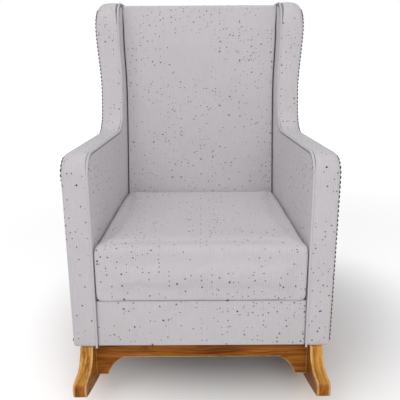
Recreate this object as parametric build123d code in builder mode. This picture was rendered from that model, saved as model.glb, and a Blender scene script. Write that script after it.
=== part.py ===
from build123d import *
from math import atan, cos, sin, sqrt
import os

# Upholstered wing armchair on a pair of wooden rockers. Millimetres.
# +X is to the right of someone facing the chair, +Y runs to its back and +Z is up. The floor is Z 0, and
# the rockers touch it at the origin. A depth is measured backwards from the front plane of the arms.

# ---- Upholstered body ----
FRONT_Y = -368.0  # front plane of the arms, which balances the body over the rockers' lowest point
OUTER_HALF = 335.5  # centre to the outer face of a side, at the front
TOE_IN = 0.0295  # each side comes in by this much per millimetre of depth
BODY_Z = 156.0  # underside of the body, which is the top of the base
ARM_Z = 664.0  # top of the arms
WING_Z = 1063.0  # top of the wings
BODY_DEPTH = 615.0  # depth of the body at its underside
BACK_RAKE = 0.119  # the rear plane leans back by this much per millimetre of height

# ---- Sides: arm and wing in one outline ----
SIDE_BOTTOM_WIDTH = 63.5
SIDE_ARM_WIDTH = 67.5
ARM_CORNER_R = 47.0
WING_FOOT_SPAN = 188.0  # from the rear plane to the wing's front edge, at arm height
WING_CREST_SPAN = 180.0  # the same at the wing's top
WING_HOLLOW = 8.0  # how far the wing's front edge bows backwards
WING_FOOT_R = 80.0
WING_CREST_R = 60.0
WING_REAR_R = 30.0
FLARE = 15.0  # how far the wing's outer face leans out
FLARE_RISE = 136.0  # above the arm, where the flare begins
FLARE_TOP_DROP = 83.0  # below the wing's top, where the flare ends
FLARE_BEND_R = 900.0
WING_TOP_WIDTH = 75.0
WING_OUTER_R = 30.0
WING_INNER_R = 12.0

# ---- Skins, padding and timber inside ----
COVER = 2.0
FRAME_INSET = 5.0  # from the outline of a side to its timber
OUTER_PAD = 5.0  # cover and wadding over the outer face of the timber
POST = 40.0
BOTTOM_RAIL_HEIGHT = 60.0
ARM_RAIL_HEIGHT = 35.0
WING_BOARD = 18.0
RAIL = 28.0
BACK_RAIL_HEIGHT = 60.0

# ---- Back ----
BACK_THICKNESS = 113.0
BACK_TOP_DROP = 5.0  # from the wings' top down to the top of the back
OUTSIDE_BACK = 4.0
OUTSIDE_BACK_TOP_DROP = 12.0
OUTSIDE_BACK_CORNER_R = 15.0
STRAP_WIDTH = 50.0
STRAP = 2.0
STRAP_COUNT = 4
STRAP_PITCH = 112.0

# ---- Seat ----
CUSHION_Z = 285.0
CUSHION_HEIGHT = 150.0
CUSHION_SIDE_GAP = 1.0  # beside the cushion where the arms are closest
CUSHION_BACK_GAP = 12.0
CUSHION_REST_GAP = 0.5
CUSHION_CORNER_R = 15.0
CUSHION_EDGE_R = 12.0
DECK = 14.0
BORDER_SETBACK = 4.0
BORDER_FOAM = 10.0
DUST_COVER = 2.0
SPRING_COUNT = 5
SPRING_PITCH = 88.0
SPRING_WIRE_R = 1.8
SPRING_WAVES = 9
SPRING_HALF_WIDTH = 22.0
SPRING_BEND_R = 9.0
SPRING_BEND_SHARE = 0.45  # the most of a wave's step that a bend takes up
CLIP_WIDTH = 16.0
CLIP_LENGTH = 20.0
CLIP_HEIGHT = 8.0
CLIP_CLEARANCE = 0.15

# ---- Base ----
ROCKER_INSET = 17.5  # from the outer face of a side, at the front, to the rocker under it
ROCKER_WIDTH = 34.0
ROCKER_R = 1500.0
ROCKER_HALF_LENGTH = 470.0
TOE_Z = 110.0  # top of the toes
TOE_NOSE_R = 10.0
TOE_SOLE_R = 5.0
ROCKER_LEAD = 7.0  # how far the rocker's shoulder stands ahead of the arms
ROCKER_TRAIL = 7.0  # how far its rear shoulder stands ahead of the rear plane
ROCKER_EDGE = 2.0
APRON = 22.0
APRON_SETBACK = 20.0
APRON_ARCH_Z = 112.0
BRACKET_Z = 60.0
BRACKET_FLAT = 32.0
BRACKET_CURVE = 44.0
BRACKET_HOLLOW = 8.0
BLOCK_WIDTH = 62.0
BLOCK_DEPTH = 58.0
BASE_BLOCK_HEIGHT = 40.0
SEAT_BLOCK_HEIGHT = 60.0

# ---- Fasteners and trim ----
BOLT_R = 4.0
BOLT_HEAD_WIDTH = 13.0
BOLT_HEAD_HEIGHT = 5.5
BOLT_INSET = 42.0  # from the inner face of a rocker to the bolts
BOLT_CLEARANCE = 0.5
THREAD_CLEARANCE = 0.1
WASHER_R = 11.0
WASHER = 1.6
TNUT_FLANGE_R = 10.0
TNUT_FLANGE = 1.5
TNUT_BARREL_R = 5.2
TNUT_BARREL = 10.0
DOWEL_R = 5.0
DOWEL_LENGTH = 50.0
DOWEL_CLEARANCE = 0.05
DOWEL_CHAMFER = 0.5
DOWEL_HEIGHTS = (80.0, 132.0)
PIPING = 5.0
PIPING_PROUD = 2.5
NAIL_HEAD_R = 5.5
NAIL_HEAD_HEIGHT = 3.2
NAIL_SHANK = 12.0
NAIL_SHANK_WIDTH = 2.0
NAIL_INSET = 8.0  # from the edge of the side to the nails' line
NAIL_PITCH = 12.0
NAIL_END_GAP = 16.0
ZIP_LENGTH = 440.0
ZIP_TAPE = 26.0
ZIP_CHAIN = 5.0
ZIP_THICKNESS = 1.0
SLIDER_LENGTH = 12.0
SLIDER_WIDTH = 10.0
SLIDER_HEIGHT = 4.0
SLIDER_CLEARANCE = 0.3

# ---- Values worked out from the sizes above ----
TOE_ANGLE = atan(TOE_IN)
RAKE_ANGLE = atan(BACK_RAKE)
REACH = 2.0 * (WING_Z + BODY_DEPTH)  # longer than anything it cuts
SIDE_PLANE = Plane(
    origin=(OUTER_HALF, FRONT_Y, 0),
    x_dir=(-sin(TOE_ANGLE), cos(TOE_ANGLE), 0),
    z_dir=(cos(TOE_ANGLE), sin(TOE_ANGLE), 0),
)
BAND_PLANE = Plane(
    origin=(OUTER_HALF, FRONT_Y, 0),
    x_dir=(cos(TOE_ANGLE), sin(TOE_ANGLE), 0),
    z_dir=(sin(TOE_ANGLE), -cos(TOE_ANGLE), 0),
)
REAR_Y = FRONT_Y + BODY_DEPTH
FLARE_Z = ARM_Z + FLARE_RISE
FLARE_TOP_Z = WING_Z - FLARE_TOP_DROP
ROCKER_INNER_X = OUTER_HALF - ROCKER_INSET - ROCKER_WIDTH
BOLT_X = ROCKER_INNER_X - BOLT_INSET
SEAT_RAIL_Z = BODY_Z + DUST_COVER
DECK_TOP = CUSHION_Z - CUSHION_REST_GAP
SEAT_RAIL_TOP = DECK_TOP - DECK - CLIP_HEIGHT
FRONT_RAIL_Y = FRONT_Y + BORDER_SETBACK + COVER + BORDER_FOAM
REAR_RAIL_Y = REAR_Y - FRAME_INSET - RAIL
BACK_TOP_Z = WING_Z - BACK_TOP_DROP
BACK_FOAM_FLOOR = FRAME_INSET + RAIL + STRAP  # from the rear plane to the back of the foam
FRONT_BLOCK_Y = FRONT_Y + APRON_SETBACK + APRON  # where the front corner blocks begin
REAR_BLOCK_Y = REAR_Y - APRON_SETBACK - APRON - BLOCK_DEPTH
BOLT_SPOTS = [
    (side * BOLT_X, start + BLOCK_DEPTH / 2) for side in (-1, 1) for start in (FRONT_BLOCK_Y, REAR_BLOCK_Y)
]
BASE_BLOCK_Z = BODY_Z - BASE_BLOCK_HEIGHT
SEAT_BLOCK_TOP = SEAT_RAIL_Z + SEAT_BLOCK_HEIGHT


def rear_depth(height):
    """Depth of the rear plane at a height."""
    return BODY_DEPTH + BACK_RAKE * (height - BODY_Z)


# ---- Outlines ----
def side_profile(grow, floor_z=BODY_Z):
    """Outline of a side seen square on: depth across, height up. It grows or shrinks all round, except
    that its foot stays at floor_z."""
    corners = {
        "arm": (0, ARM_Z),
        "foot": (rear_depth(ARM_Z) - WING_FOOT_SPAN, ARM_Z),
        "crest": (rear_depth(WING_Z) - WING_CREST_SPAN, WING_Z),
        "rear": (rear_depth(WING_Z), WING_Z),
    }
    foot_z = floor_z + grow
    with BuildSketch() as outline:
        with BuildLine():
            Line((0, foot_z), corners["arm"])
            Line(corners["arm"], corners["foot"])
            SagittaArc(corners["foot"], corners["crest"], -WING_HOLLOW)
            Line(corners["crest"], corners["rear"])
            Line(corners["rear"], (rear_depth(foot_z), foot_z))
            Line((rear_depth(foot_z), foot_z), (0, foot_z))
        make_face()
        radii = {"arm": ARM_CORNER_R, "foot": WING_FOOT_R, "crest": WING_CREST_R, "rear": WING_REAR_R}
        for name, radius in radii.items():
            x, y = corners[name]
            fillet(outline.vertices().sort_by_distance((x, y, 0))[0], radius)
        if grow:
            offset(amount=grow, kind=Kind.INTERSECTION)
    return outline.sketch


def band_outline(grow):
    """Outline of a side seen from the front: outwards across, height up. It grows or shrinks all round,
    except at its foot."""
    top = WING_Z + grow
    outer_top = FLARE + grow
    inner_top = FLARE - WING_TOP_WIDTH - grow
    inner_arm = -SIDE_ARM_WIDTH - grow
    bends = [(grow, FLARE_Z), (outer_top, FLARE_TOP_Z), (inner_top, FLARE_TOP_Z), (inner_arm, FLARE_Z)]
    with BuildSketch() as outline:
        with BuildLine():
            Polyline(
                (grow, BODY_Z),
                (grow, FLARE_Z),
                (outer_top, FLARE_TOP_Z),
                (outer_top, top),
                (inner_top, top),
                (inner_top, FLARE_TOP_Z),
                (inner_arm, FLARE_Z),
                (inner_arm, ARM_Z),
                (-SIDE_BOTTOM_WIDTH - grow, BODY_Z),
                close=True,
            )
        make_face()
        for x, y in bends:
            fillet(outline.vertices().sort_by_distance((x, y, 0))[0], FLARE_BEND_R)
        fillet(outline.vertices().sort_by_distance((outer_top, top, 0))[0], WING_OUTER_R + grow)
        fillet(outline.vertices().sort_by_distance((inner_top, top, 0))[0], WING_INNER_R + grow)
    return outline.sketch


def side_envelope(grow):
    """Solid outline of the right side, grown or shrunk, with its foot left where it is."""
    with BuildPart() as envelope:
        with BuildSketch(SIDE_PLANE):
            add(side_profile(grow))
        extrude(amount=REACH, both=True)
        with BuildSketch(BAND_PLANE):
            add(band_outline(grow))
        extrude(amount=REACH, both=True, mode=Mode.INTERSECT)
    return envelope.part


def rocker_profile():
    """Side view of a rocker: Y across, Z up."""
    shoulder = FRONT_Y - ROCKER_LEAD
    rear_shoulder = REAR_Y - ROCKER_TRAIL
    sweep_r = BODY_Z - TOE_Z
    sole_z = ROCKER_R - sqrt(ROCKER_R**2 - ROCKER_HALF_LENGTH**2)
    with BuildSketch() as profile:
        with BuildLine():
            ThreePointArc((-ROCKER_HALF_LENGTH, sole_z), (0, 0), (ROCKER_HALF_LENGTH, sole_z))
            Line((-ROCKER_HALF_LENGTH, sole_z), (-ROCKER_HALF_LENGTH, TOE_Z))
            Line((-ROCKER_HALF_LENGTH, TOE_Z), (shoulder - sweep_r, TOE_Z))
            CenterArc((shoulder - sweep_r, BODY_Z), sweep_r, 270, 90)
            Line((shoulder, BODY_Z), (rear_shoulder, BODY_Z))
            CenterArc((rear_shoulder + sweep_r, BODY_Z), sweep_r, 180, 90)
            Line((rear_shoulder + sweep_r, TOE_Z), (ROCKER_HALF_LENGTH, TOE_Z))
            Line((ROCKER_HALF_LENGTH, TOE_Z), (ROCKER_HALF_LENGTH, sole_z))
        make_face()
        for end in (-ROCKER_HALF_LENGTH, ROCKER_HALF_LENGTH):
            fillet(profile.vertices().sort_by_distance((end, TOE_Z, 0))[0], TOE_NOSE_R)
            fillet(profile.vertices().sort_by_distance((end, sole_z, 0))[0], TOE_SOLE_R)
    return profile.sketch


def apron_profile():
    """Front view of an apron: a long arch between two bracket ends."""
    heel = ROCKER_INNER_X - BRACKET_FLAT
    spring = heel - BRACKET_CURVE
    with BuildSketch() as profile:
        with BuildLine():
            Line((0, BODY_Z), (ROCKER_INNER_X, BODY_Z))
            Line((ROCKER_INNER_X, BODY_Z), (ROCKER_INNER_X, BRACKET_Z))
            Line((ROCKER_INNER_X, BRACKET_Z), (heel, BRACKET_Z))
            SagittaArc((heel, BRACKET_Z), (spring, APRON_ARCH_Z), -BRACKET_HOLLOW)
            Line((spring, APRON_ARCH_Z), (0, APRON_ARCH_Z))
            Line((0, APRON_ARCH_Z), (0, BODY_Z))
        make_face()
        mirror(about=Plane.YZ)
    return profile.sketch


# ---- Base ----
APRON_FACES = {"front": FRONT_Y + APRON_SETBACK, "rear": REAR_Y - APRON_SETBACK - APRON}
DOWEL_AXES = [
    Location((side * ROCKER_INNER_X, y + APRON / 2, z), (0, 90, 0))
    for side in (-1, 1)
    for y in APRON_FACES.values()
    for z in DOWEL_HEIGHTS
]


def make_rocker():
    """Right rocker, with the blind holes for the apron dowels."""
    with BuildPart() as rocker:
        with BuildSketch(Plane.YZ.offset(ROCKER_INNER_X)):
            add(rocker_profile())
        extrude(amount=ROCKER_WIDTH)
        chamfer(rocker.faces().filter_by(Axis.X).edges(), ROCKER_EDGE)
        with Locations(*DOWEL_AXES):
            Cylinder(DOWEL_R + DOWEL_CLEARANCE, DOWEL_LENGTH, mode=Mode.SUBTRACT)
    return rocker


def make_apron(face_y):
    """Apron whose front face is at face_y, bored for its dowels."""
    with BuildPart() as apron:
        with BuildSketch(Plane.XZ.offset(-face_y)):
            add(apron_profile())
        extrude(amount=-APRON)
        with Locations(*DOWEL_AXES):
            Cylinder(DOWEL_R + DOWEL_CLEARANCE, DOWEL_LENGTH, mode=Mode.SUBTRACT)
    return apron


right_rocker = make_rocker()
front_apron = make_apron(APRON_FACES["front"])
rear_apron = make_apron(APRON_FACES["rear"])

with BuildPart() as apron_dowels:
    with Locations(*DOWEL_AXES):
        Cylinder(DOWEL_R, DOWEL_LENGTH)
    chamfer(apron_dowels.edges(), DOWEL_CHAMFER)

with BuildPart() as base_corner_blocks:
    with BuildSketch(Plane.XY.offset(BASE_BLOCK_Z)):
        with Locations(*[(x / BOLT_X * (ROCKER_INNER_X - BLOCK_WIDTH / 2), y) for x, y in BOLT_SPOTS]):
            Rectangle(BLOCK_WIDTH, BLOCK_DEPTH)
        with Locations(*BOLT_SPOTS):
            Circle(BOLT_R + BOLT_CLEARANCE, mode=Mode.SUBTRACT)
    extrude(amount=BASE_BLOCK_HEIGHT)

with BuildPart() as base_washers:
    with BuildSketch(Plane.XY.offset(BASE_BLOCK_Z - WASHER)):
        with Locations(*BOLT_SPOTS):
            Circle(WASHER_R)
            Circle(BOLT_R + BOLT_CLEARANCE, mode=Mode.SUBTRACT)
    extrude(amount=WASHER)

with BuildPart() as base_bolts:
    with BuildSketch(Plane.XY.offset(BASE_BLOCK_Z - WASHER - BOLT_HEAD_HEIGHT)):
        with Locations(*BOLT_SPOTS):
            RegularPolygon(BOLT_HEAD_WIDTH / 2, 6, major_radius=False)
    extrude(amount=BOLT_HEAD_HEIGHT)
    with BuildSketch(Plane.XY.offset(BASE_BLOCK_Z - WASHER)):
        with Locations(*BOLT_SPOTS):
            Circle(BOLT_R)
    extrude(amount=SEAT_BLOCK_TOP + TNUT_FLANGE - BASE_BLOCK_Z + WASHER)

with BuildPart() as t_nuts:
    with BuildSketch(Plane.XY.offset(SEAT_BLOCK_TOP)):
        with Locations(*BOLT_SPOTS):
            Circle(TNUT_FLANGE_R)
            Circle(BOLT_R + THREAD_CLEARANCE, mode=Mode.SUBTRACT)
    extrude(amount=TNUT_FLANGE)
    with BuildSketch(Plane.XY.offset(SEAT_BLOCK_TOP - TNUT_BARREL)):
        with Locations(*BOLT_SPOTS):
            Circle(TNUT_BARREL_R)
            Circle(BOLT_R + THREAD_CLEARANCE, mode=Mode.SUBTRACT)
    extrude(amount=TNUT_BARREL)


# ---- Timber of a side ----
TIMBER_FACE = SIDE_PLANE.offset(-OUTER_PAD)
ARM_RAIL_TOP = ARM_Z - FRAME_INSET
ARM_RAIL_FOOT = ARM_RAIL_TOP - ARM_RAIL_HEIGHT
BOTTOM_RAIL_TOP = BODY_Z + BOTTOM_RAIL_HEIGHT
REAR_POST_FRONT = FRAME_INSET + POST  # ahead of the rear plane


def rear_strip(near, far, low, high):
    """Points of a strip parallel to the rear plane, between two distances from it and two heights."""
    return [
        (rear_depth(low) - far, low),
        (rear_depth(low) - near, low),
        (rear_depth(high) - near, high),
        (rear_depth(high) - far, high),
    ]


with BuildPart() as right_bottom_rail:
    with BuildSketch(TIMBER_FACE):
        with BuildLine():
            Polyline(
                (FRAME_INSET, BODY_Z),
                (rear_depth(BODY_Z) - FRAME_INSET, BODY_Z),
                (rear_depth(BOTTOM_RAIL_TOP) - FRAME_INSET, BOTTOM_RAIL_TOP),
                (FRAME_INSET, BOTTOM_RAIL_TOP),
                close=True,
            )
        make_face()
    extrude(amount=-POST)

with BuildPart() as right_front_post:
    with BuildSketch(TIMBER_FACE):
        with Locations((FRAME_INSET + POST / 2, (BOTTOM_RAIL_TOP + ARM_RAIL_FOOT) / 2)):
            Rectangle(POST, ARM_RAIL_FOOT - BOTTOM_RAIL_TOP)
    extrude(amount=-POST)

WING_BOARD_TOP = WING_Z - FRAME_INSET - WING_REAR_R
with BuildPart() as right_rear_post:
    with BuildSketch(TIMBER_FACE):
        with BuildLine():
            Polyline(*rear_strip(FRAME_INSET, REAR_POST_FRONT, BOTTOM_RAIL_TOP, WING_BOARD_TOP), close=True)
        make_face()
    extrude(amount=-POST)

with BuildPart() as right_arm_rail:
    with BuildSketch(TIMBER_FACE) as rail_face:
        add(side_profile(-FRAME_INSET))
        with Locations((0, ARM_RAIL_FOOT / 2)):
            Rectangle(REACH, ARM_RAIL_FOOT, mode=Mode.SUBTRACT)
        with Locations((0, ARM_RAIL_TOP + REACH / 2)):
            Rectangle(REACH, REACH, mode=Mode.SUBTRACT)
        with BuildLine():
            Polyline(*rear_strip(-REACH, REAR_POST_FRONT, BODY_Z, WING_Z), close=True)
        make_face(mode=Mode.SUBTRACT)
    extrude(amount=-POST)

with BuildPart() as right_wing_board:
    with BuildSketch(TIMBER_FACE.offset(-(POST - WING_BOARD) / 2)):
        add(side_profile(-FRAME_INSET))
        with Locations((0, ARM_RAIL_TOP / 2)):
            Rectangle(REACH, ARM_RAIL_TOP, mode=Mode.SUBTRACT)
        with Locations((0, WING_BOARD_TOP + REACH / 2)):
            Rectangle(REACH, REACH, mode=Mode.SUBTRACT)
        with BuildLine():
            Polyline(*rear_strip(-REACH, REAR_POST_FRONT, BODY_Z, WING_Z), close=True)
        make_face(mode=Mode.SUBTRACT)
    extrude(amount=-WING_BOARD)


# ---- Pieces that run from side to side ----
def half_between(inset, depth):
    """Half the width between the sides at a depth, to a plane this far inside their outer faces."""
    return OUTER_HALF - inset / cos(TOE_ANGLE) - TOE_IN * depth


def room_between(inset):
    """Everything between two planes that lie this far inside the sides' outer faces."""
    front, back = half_between(inset, -BODY_DEPTH), half_between(inset, 2 * BODY_DEPTH)
    with BuildPart() as room:
        with BuildSketch():
            with BuildLine():
                Polyline(
                    (-front, FRONT_Y - BODY_DEPTH),
                    (front, FRONT_Y - BODY_DEPTH),
                    (back, FRONT_Y + 2 * BODY_DEPTH),
                    (-back, FRONT_Y + 2 * BODY_DEPTH),
                    close=True,
                )
            make_face()
        extrude(amount=REACH)
    return room.part


def back_slice(near, far, low, high):
    """Side view of a slab parallel to the rear plane, on the chair's middle plane."""
    points = [(FRONT_Y + depth, height) for depth, height in rear_strip(near, far, low, high)]
    with BuildSketch() as face:
        with BuildLine():
            Polyline(*points, close=True)
        make_face()
    return face.sketch


right_shape = side_envelope(0)
left_shape = mirror(right_shape, about=Plane.YZ)
timber_room = room_between(OUTER_PAD + POST)


def between_sides():
    """Trim the part being built where it meets the two sides."""
    add(timber_room, mode=Mode.INTERSECT)
    add(right_shape, mode=Mode.SUBTRACT)
    add(left_shape, mode=Mode.SUBTRACT)


def make_seat_rail(near_y):
    """Seat rail between the posts, with its front face at near_y."""
    with BuildPart() as rail:
        with BuildSketch(Plane.XY.offset(SEAT_RAIL_Z)):
            with Locations((0, near_y + RAIL / 2)):
                Rectangle(2 * OUTER_HALF, RAIL)
        extrude(amount=SEAT_RAIL_TOP - SEAT_RAIL_Z)
        add(timber_room, mode=Mode.INTERSECT)
    return rail


def make_back_rail(low):
    """Back rail between the rear posts, with its foot at a height."""
    with BuildPart() as rail:
        with BuildSketch(Plane.YZ):
            add(back_slice(FRAME_INSET, FRAME_INSET + RAIL, low, low + BACK_RAIL_HEIGHT))
        extrude(amount=OUTER_HALF, both=True)
        add(timber_room, mode=Mode.INTERSECT)
    return rail


LOWER_RAIL_FOOT = DECK_TOP + FRAME_INSET
TOP_RAIL_FOOT = BACK_TOP_Z - COVER - BACK_RAIL_HEIGHT
seat_front_rail = make_seat_rail(FRONT_RAIL_Y)
seat_rear_rail = make_seat_rail(REAR_RAIL_Y)
back_lower_rail = make_back_rail(LOWER_RAIL_FOOT)
back_top_rail = make_back_rail(TOP_RAIL_FOOT)

with BuildPart() as seat_corner_blocks:
    with BuildSketch(Plane.XY.offset(SEAT_RAIL_Z)):
        for low_y, high_y in (
            (FRONT_RAIL_Y + RAIL, FRONT_BLOCK_Y + BLOCK_DEPTH),
            (REAR_BLOCK_Y, REAR_RAIL_Y),
        ):
            with Locations((0, (low_y + high_y) / 2)):
                Rectangle(2 * ROCKER_INNER_X, high_y - low_y)
        Rectangle(2 * (ROCKER_INNER_X - BLOCK_WIDTH), REACH, mode=Mode.SUBTRACT)
        with Locations(*BOLT_SPOTS):
            Circle(BOLT_R + BOLT_CLEARANCE, mode=Mode.SUBTRACT)
    extrude(amount=SEAT_BLOCK_HEIGHT)
    with BuildSketch(Plane.XY.offset(SEAT_BLOCK_TOP - TNUT_BARREL)):
        with Locations(*BOLT_SPOTS):
            Circle(TNUT_BARREL_R + THREAD_CLEARANCE)
    extrude(amount=TNUT_BARREL, mode=Mode.SUBTRACT)
    between_sides()

# Sinuous springs, hooked under a clip on each rail.
SPRING_XS = [(i - (SPRING_COUNT - 1) / 2) * SPRING_PITCH for i in range(SPRING_COUNT)]
SPRING_Z = SEAT_RAIL_TOP + SPRING_WIRE_R
CLIP_YS = [FRONT_RAIL_Y + RAIL / 2, REAR_RAIL_Y + RAIL / 2]


def spring_path():
    """Corners of one spring's path: a run out of each clip and a square wave between the rails."""
    first = FRONT_RAIL_Y + RAIL + CLIP_LENGTH
    last = REAR_RAIL_Y - CLIP_LENGTH
    step = (last - first) / (2 * SPRING_WAVES - 1)
    corners = [(0, CLIP_YS[0] - CLIP_LENGTH / 2), (0, first)]
    for row in range(2 * SPRING_WAVES - 1):
        side = SPRING_HALF_WIDTH if row % 2 == 0 else -SPRING_HALF_WIDTH
        corners += [(side, first + row * step), (side, first + (row + 1) * step)]
    corners += [(0, last), (0, CLIP_YS[1] + CLIP_LENGTH / 2)]
    return corners, min(SPRING_BEND_R, SPRING_BEND_SHARE * step)


with BuildPart() as spring:
    corners, bend_r = spring_path()
    with BuildLine(Plane.XY.offset(SPRING_Z)) as path:
        FilletPolyline(*corners, radius=bend_r)
    with BuildSketch(Plane.XZ.offset(-corners[0][1])):
        with Locations((0, SPRING_Z)):
            Circle(SPRING_WIRE_R)
    sweep()

with BuildPart() as zigzag_springs:
    with Locations(*[(x, 0, 0) for x in SPRING_XS]):
        add(spring.part)

with BuildPart() as spring_clips:
    with BuildSketch(Plane.XY.offset(SEAT_RAIL_TOP)):
        with Locations(*[(x, y) for x in SPRING_XS for y in CLIP_YS]):
            Rectangle(CLIP_WIDTH, CLIP_LENGTH)
    extrude(amount=CLIP_HEIGHT)
    with BuildSketch(Plane.XZ.offset(-FRONT_Y)):
        with Locations(*[(x, SPRING_Z) for x in SPRING_XS]):
            Circle(SPRING_WIRE_R + CLIP_CLEARANCE)
    extrude(amount=-BODY_DEPTH, mode=Mode.SUBTRACT)


def make_slab(near_y, far_y, low, high):
    """Flat layer between the two sides."""
    with BuildPart() as slab:
        with BuildSketch(Plane.XY.offset(low)):
            with Locations((0, (near_y + far_y) / 2)):
                Rectangle(2 * OUTER_HALF, far_y - near_y)
        extrude(amount=high - low)
        between_sides()
    return slab


BORDER_Y = FRONT_Y + BORDER_SETBACK
seat_deck = make_slab(FRONT_RAIL_Y, REAR_RAIL_Y + RAIL, DECK_TOP - DECK, DECK_TOP)
front_border_cover = make_slab(BORDER_Y, BORDER_Y + COVER, BODY_Z, DECK_TOP)
front_border_padding = make_slab(BORDER_Y + COVER, FRONT_RAIL_Y, BODY_Z, DECK_TOP)

with BuildPart() as dust_cover:
    add(make_slab(FRONT_RAIL_Y, REAR_Y - FRAME_INSET, BODY_Z, SEAT_RAIL_Z).part)
    with BuildSketch(Plane.XY.offset(BODY_Z)):
        with Locations(*BOLT_SPOTS):
            Circle(BOLT_R + BOLT_CLEARANCE)
    extrude(amount=DUST_COVER, mode=Mode.SUBTRACT)

# ---- Back between the wings ----
with BuildPart() as back_webbing:
    for strap in range(STRAP_COUNT):
        strap_x = (strap - (STRAP_COUNT - 1) / 2) * STRAP_PITCH
        with BuildSketch(Plane.YZ.offset(strap_x)):
            add(back_slice(BACK_FOAM_FLOOR - STRAP, BACK_FOAM_FLOOR, LOWER_RAIL_FOOT, BACK_TOP_Z - COVER))
        extrude(amount=STRAP_WIDTH / 2, both=True)

with BuildPart() as back_padding:
    with BuildSketch(Plane.YZ):
        add(back_slice(BACK_FOAM_FLOOR, BACK_THICKNESS - COVER, DECK_TOP, BACK_TOP_Z - COVER))
    extrude(amount=OUTER_HALF, both=True)
    between_sides()

with BuildPart() as back_cover:
    with BuildSketch(Plane.YZ):
        add(back_slice(0, BACK_THICKNESS, DECK_TOP, BACK_TOP_Z))
        add(back_slice(0, BACK_THICKNESS - COVER, DECK_TOP, BACK_TOP_Z - COVER), mode=Mode.SUBTRACT)
    extrude(amount=OUTER_HALF, both=True)
    between_sides()

BACK_SEAM = FLARE * sin(TOE_ANGLE)  # how far the toed-in wings reach past the rear plane
with BuildPart() as outside_back:
    with BuildSketch(Plane.YZ):
        add(back_slice(-BACK_SEAM - OUTSIDE_BACK, -BACK_SEAM, BODY_Z, WING_Z - OUTSIDE_BACK_TOP_DROP))
    extrude(amount=REACH, both=True)
    with BuildSketch(Plane.XZ):
        heights = [(BODY_Z, 0), (FLARE_Z, 0), (FLARE_TOP_Z, FLARE), (WING_Z, FLARE)]
        with BuildLine():
            Polyline(
                *[(half_between(0, rear_depth(z)) + lean, z) for z, lean in heights],
                *[(-half_between(0, rear_depth(z)) - lean, z) for z, lean in reversed(heights)],
                close=True,
            )
        make_face()
    extrude(amount=REACH, both=True, mode=Mode.INTERSECT)
    fillet(outside_back.edges().filter_by(Axis.Y).group_by(Axis.Z)[-1], OUTSIDE_BACK_CORNER_R)

# ---- Piping, nails, skin and padding of a side ----
with BuildPart() as right_piping:
    with BuildSketch(SIDE_PLANE):
        add(side_profile(PIPING_PROUD))
        add(side_profile(PIPING_PROUD - PIPING), mode=Mode.SUBTRACT)
        with BuildLine():
            Polyline(*rear_strip(-REACH, WING_REAR_R, 0, WING_Z + PIPING), close=True)
        make_face(mode=Mode.SUBTRACT)
    extrude(amount=REACH, both=True)
    with BuildSketch(BAND_PLANE):
        add(band_outline(0))
        with Locations((PIPING, 0)):
            add(band_outline(0), mode=Mode.SUBTRACT)
    extrude(amount=REACH, both=True, mode=Mode.INTERSECT)

with BuildPart() as nail:
    with BuildSketch(Plane.XZ):
        with BuildLine():
            TangentArc((0, NAIL_HEAD_HEIGHT), (NAIL_HEAD_R, 0), tangent=(1, 0))
            Polyline((NAIL_HEAD_R, 0), (0, 0), (0, NAIL_HEAD_HEIGHT))
        make_face()
    revolve(axis=Axis.Z)
    with BuildSketch():
        Rectangle(NAIL_SHANK_WIDTH, NAIL_SHANK_WIDTH)
    extrude(amount=-NAIL_SHANK)


def nail_spots():
    """Seats of the nails: along the front and top of a side, a fixed way in from its edge."""
    line = side_profile(-NAIL_INSET).face().outer_wire()
    count = round(line.length / NAIL_PITCH)
    spots = []
    for step in range(count):
        spot = line.position_at(step / count)
        if spot.Y > BODY_Z + NAIL_END_GAP and spot.X < rear_depth(spot.Y) - WING_REAR_R - NAIL_END_GAP:
            lean = FLARE * min(max((spot.Y - FLARE_Z) / (FLARE_TOP_Z - FLARE_Z), 0), 1)
            spots.append(Plane(SIDE_PLANE.from_local_coords((spot.X, spot.Y, lean)), z_dir=SIDE_PLANE.z_dir))
    return spots


with BuildPart() as right_nail_trim:
    with Locations(*nail_spots()):
        add(nail.part)


def cross_pieces():
    """Take out of the part being built what passes through the side's inner face."""
    for piece in (seat_front_rail, seat_rear_rail, back_lower_rail, back_top_rail):
        add(piece.part, mode=Mode.SUBTRACT)
    add(right_piping.part, mode=Mode.SUBTRACT)


with BuildPart() as right_side_cover:
    add(right_shape)
    add(side_envelope(-COVER), mode=Mode.SUBTRACT)
    cross_pieces()

with BuildPart() as right_side_padding:
    add(side_envelope(-COVER))
    for timber in (right_bottom_rail, right_front_post, right_rear_post, right_arm_rail, right_wing_board):
        add(timber.part, mode=Mode.SUBTRACT)
    cross_pieces()


# ---- Seat cushion and its zip ----
def make_cushion(inset):
    """Cushion block, shrunk all round by an inset."""
    back_near = BACK_THICKNESS + CUSHION_BACK_GAP + inset
    low, high = CUSHION_Z + inset, CUSHION_Z + CUSHION_HEIGHT - inset
    points = [
        (FRONT_Y + inset, low),
        (FRONT_Y + rear_depth(low) - back_near, low),
        (FRONT_Y + rear_depth(high) - back_near, high),
        (FRONT_Y + inset, high),
    ]
    with BuildPart() as block:
        with BuildSketch(Plane.YZ):
            with BuildLine():
                Polyline(*points, close=True)
            make_face()
        extrude(amount=OUTER_HALF, both=True)
        add(room_between(SIDE_ARM_WIDTH + CUSHION_SIDE_GAP + inset), mode=Mode.INTERSECT)
        fillet(block.edges().filter_by(Axis.Z), CUSHION_CORNER_R - inset)
        fillet(block.faces().sort_by(Axis.Z)[-1].edges(), CUSHION_EDGE_R - inset)
        fillet(block.faces().sort_by(Axis.Z)[0].edges(), CUSHION_EDGE_R - inset)
    return block


seat_cushion_foam = make_cushion(COVER)
with BuildPart() as seat_cushion_cover:
    add(make_cushion(0).part)
    add(seat_cushion_foam.part, mode=Mode.SUBTRACT)

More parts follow.
